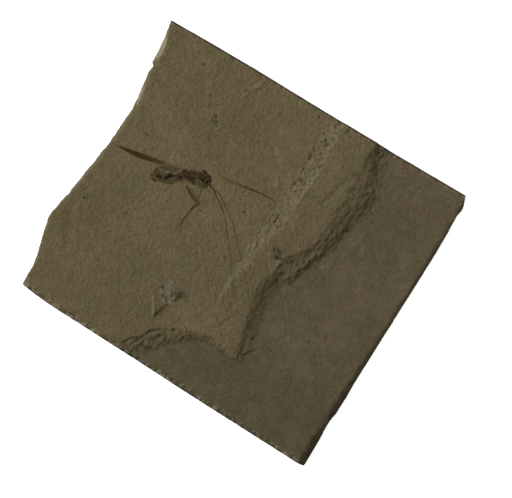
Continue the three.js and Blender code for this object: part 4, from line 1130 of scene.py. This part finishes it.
places, headings, radii, dark = [], [], [], []
for line in ANTENNA_LINES:
    run = np.hypot(*np.diff(np.array(line), axis=0).T).sum()
    path = path_through(line, round(run / ANTENNA_JOINT))
    forward = np.gradient(path, axis=0)
    share = np.linspace(0, 1, len(path))
    places.append(np.column_stack([path, top_height(*path.T) + ANTENNA_LIFT]))
    headings.append(np.arctan2(forward[:, 1], forward[:, 0]))
    radii.append(along(ANTENNA_RADIUS, share) * MM)
    dark.append(along(ANTENNA_DARK, share) * (1 + 0.3 * rough(*path.T, 1.6, 441)))
antennae = grown(
    "antennae", np.vstack(places), beads_on_points(body_film), {"Bead Length": 1.2, "Bead Height": 0.35},
    radius=np.concatenate(radii), heading=np.concatenate(headings), dark=np.concatenate(dark),
)
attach(antennae, "root")
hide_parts("insect")


# The far wing
# The other wing, pressed on the stone apart from the body and ahead of the head: a faint brown film, broad
# and pale near the body and drawn out to a thin darker streak.

FAR_WING_LINE = [
    (-14, 13.3), (-12, 13.5), (-10, 13.75), (-8, 14.1), (-6, 14.5), (-4, 14.8), (-2, 15.1), (0, 15.3),
    (1.8, 15.35), (3.6, 15.3),
]
FAR_WING_WIDTH = [(0, 0.4), (0.15, 0.8), (0.3, 0.85), (0.42, 0.6), (0.6, 0.42), (0.9, 0.36), (1, 0.15)]
FAR_WING_DARK = [
    (0, 0.08), (0.12, 0.24), (0.3, 0.24), (0.4, 0.32), (0.46, 0.48), (0.56, 0.52), (0.62, 0.38),
    (0.8, 0.38), (0.95, 0.36), (1, 0.08),
]

points, faces, share, across = pressed_form(FAR_WING_LINE, FAR_WING_WIDTH, wing_rise, steps=140, sides=18)
uneven = 1 + 0.5 * rough(points[:, 0], points[:, 1], 1.3, 451)
dark = along(FAR_WING_DARK, share) * (1 - eased(abs(across), 0.1, 1)) * uneven
far_wing = new_piece("far_wing_film", points, faces, wing_film, dark=dark.clip(0, 1))
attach(far_wing, "root")
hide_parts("far_wing")


# The dark grains
# Small rusty grains of ore that formed in the stone and stand out a little on top of it, the largest of them
# as big as a pinhead.

# x, y and radius of the largest grains
LARGE_GRAINS = [
    (1.2, 41.9, 0.42), (-43.5, -11.3, 0.4), (-3, 8.3, 0.4), (-37.5, 12.8, 0.34), (-31, -9, 0.3),
    (-1.2, -5.4, 0.32), (31.2, -13.5, 0.34), (-28, 31.5, 0.3), (-34, 38, 0.32), (4.9, 38.4, 0.34),
    (6.4, 20.6, 0.22), (-16, 3.4, 0.2), (-25.1, 13, 0.24), (-13.7, 2.2, 0.24), (-5.6, 10.9, 0.22),
]
SMALL_GRAINS = 400
GRAINS_X, GRAINS_Y = (-43, 45), (-39, 42.5)     # where the small ones lie
SMALLEST_GRAIN, GRAIN_SPREAD = 0.06, 0.13
ORE_DARK, ORE_RUST = (0.038, 0.027, 0.016, 1), (0.066, 0.046, 0.025, 1)


def ore():
    """Dull dark ore with a little rust on it."""
    material, tree, shader = new_material("ore_grain")
    spot = add(tree, "ShaderNodeTexCoord").outputs["Object"]
    rust = noise(tree, spot, 900.0, 3.0)
    colour = mixed(tree, ranged(tree, rust, 0.4, 0.6), ORE_DARK, ORE_RUST)
    tree.links.new(colour, shader.inputs["Base Color"])
    shader.inputs["Roughness"].default_value = 0.8
    shader.inputs["Specular IOR Level"].default_value = 0.2
    return material


rng = np.random.default_rng(301)
small_x, small_y = rng.uniform(*GRAINS_X, SMALL_GRAINS), rng.uniform(*GRAINS_Y, SMALL_GRAINS)
small_radius = SMALLEST_GRAIN + GRAIN_SPREAD * rng.uniform(0, 1, SMALL_GRAINS) ** 2.5
grain_x, grain_y, grain_radius = np.hstack([[small_x, small_y, small_radius], np.transpose(LARGE_GRAINS)])
grains = grown(
    "ore_grains", np.column_stack([grain_x, grain_y, top_height(grain_x, grain_y)]),
    beads_on_points(ore()), {"Bead Length": 1.25, "Bead Height": 0.3},
    radius=grain_radius * MM, heading=rng.uniform(0, np.pi, len(grain_x)),
)
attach(grains, "root")
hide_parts("slab")


# The floor, the light and the camera
# A plain white floor, one low soft light from the left with an even fill, and a camera straight above, turned
# as the picture has the slab.

IMAGE_WIDTH = 512
IMAGE_SCALE = 0.28                       # millimetres of the slab's top to one pixel
PHOTO_TURN = math.radians(31)            # how far the slab is turned in the picture
VIEW_CENTRE = (5.28, 1.15)               # x and y in the middle of the picture
CAMERA_HEIGHT = 420
SENSOR_WIDTH = 36
LIGHT_HEIGHT, LIGHT_TURN = math.radians(33), math.radians(8)
LIGHT_STRENGTH, LIGHT_SPREAD = 3.6, math.radians(9)
FILL_STRENGTH = 0.42
FLOOR_REACH, FLOOR_GLOW = 3, 0.75        # half its width in metres, and how strongly it glows

corners = [(FLOOR_REACH * x, FLOOR_REACH * y, 0) for x, y in ((-1, -1), (1, -1), (1, 1), (-1, 1))]
floor_mesh = bpy.data.meshes.new("floor")
floor_mesh.from_pydata(corners, [], [(0, 1, 2, 3)])
floor_paint, _, paint = new_material("floor_paint")
paint.inputs["Base Color"].default_value = (0.9, 0.9, 0.9, 1)
paint.inputs["Roughness"].default_value = 0.9
paint.inputs["Emission Color"].default_value = (1, 1, 1, 1)
paint.inputs["Emission Strength"].default_value = FLOOR_GLOW
floor_mesh.materials.append(floor_paint)
floor = in_scene("floor", floor_mesh)

world = bpy.data.worlds.new("studio")
world.use_nodes = True
world.node_tree.nodes["Background"].inputs["Color"].default_value = (1, 1, 1, 1)
world.node_tree.nodes["Background"].inputs["Strength"].default_value = FILL_STRENGTH
bpy.context.scene.world = world

lamp = bpy.data.lights.new("low_light", "SUN")
lamp.energy, lamp.angle = LIGHT_STRENGTH, LIGHT_SPREAD
in_scene("low_light", lamp).rotation_euler = (0, LIGHT_HEIGHT - math.pi / 2, LIGHT_TURN)

camera = bpy.data.cameras.new("camera")
camera.sensor_width = SENSOR_WIDTH
camera.lens = SENSOR_WIDTH * (CAMERA_HEIGHT - BED) / (IMAGE_WIDTH * IMAGE_SCALE)
camera_object = in_scene("camera", camera)
camera_object.location = (VIEW_CENTRE[0] * MM, VIEW_CENTRE[1] * MM, CAMERA_HEIGHT * MM)
camera_object.rotation_euler = (0, 0, PHOTO_TURN)
bpy.context.scene.camera = camera_object
bpy.context.scene.view_settings.view_transform = "Standard"
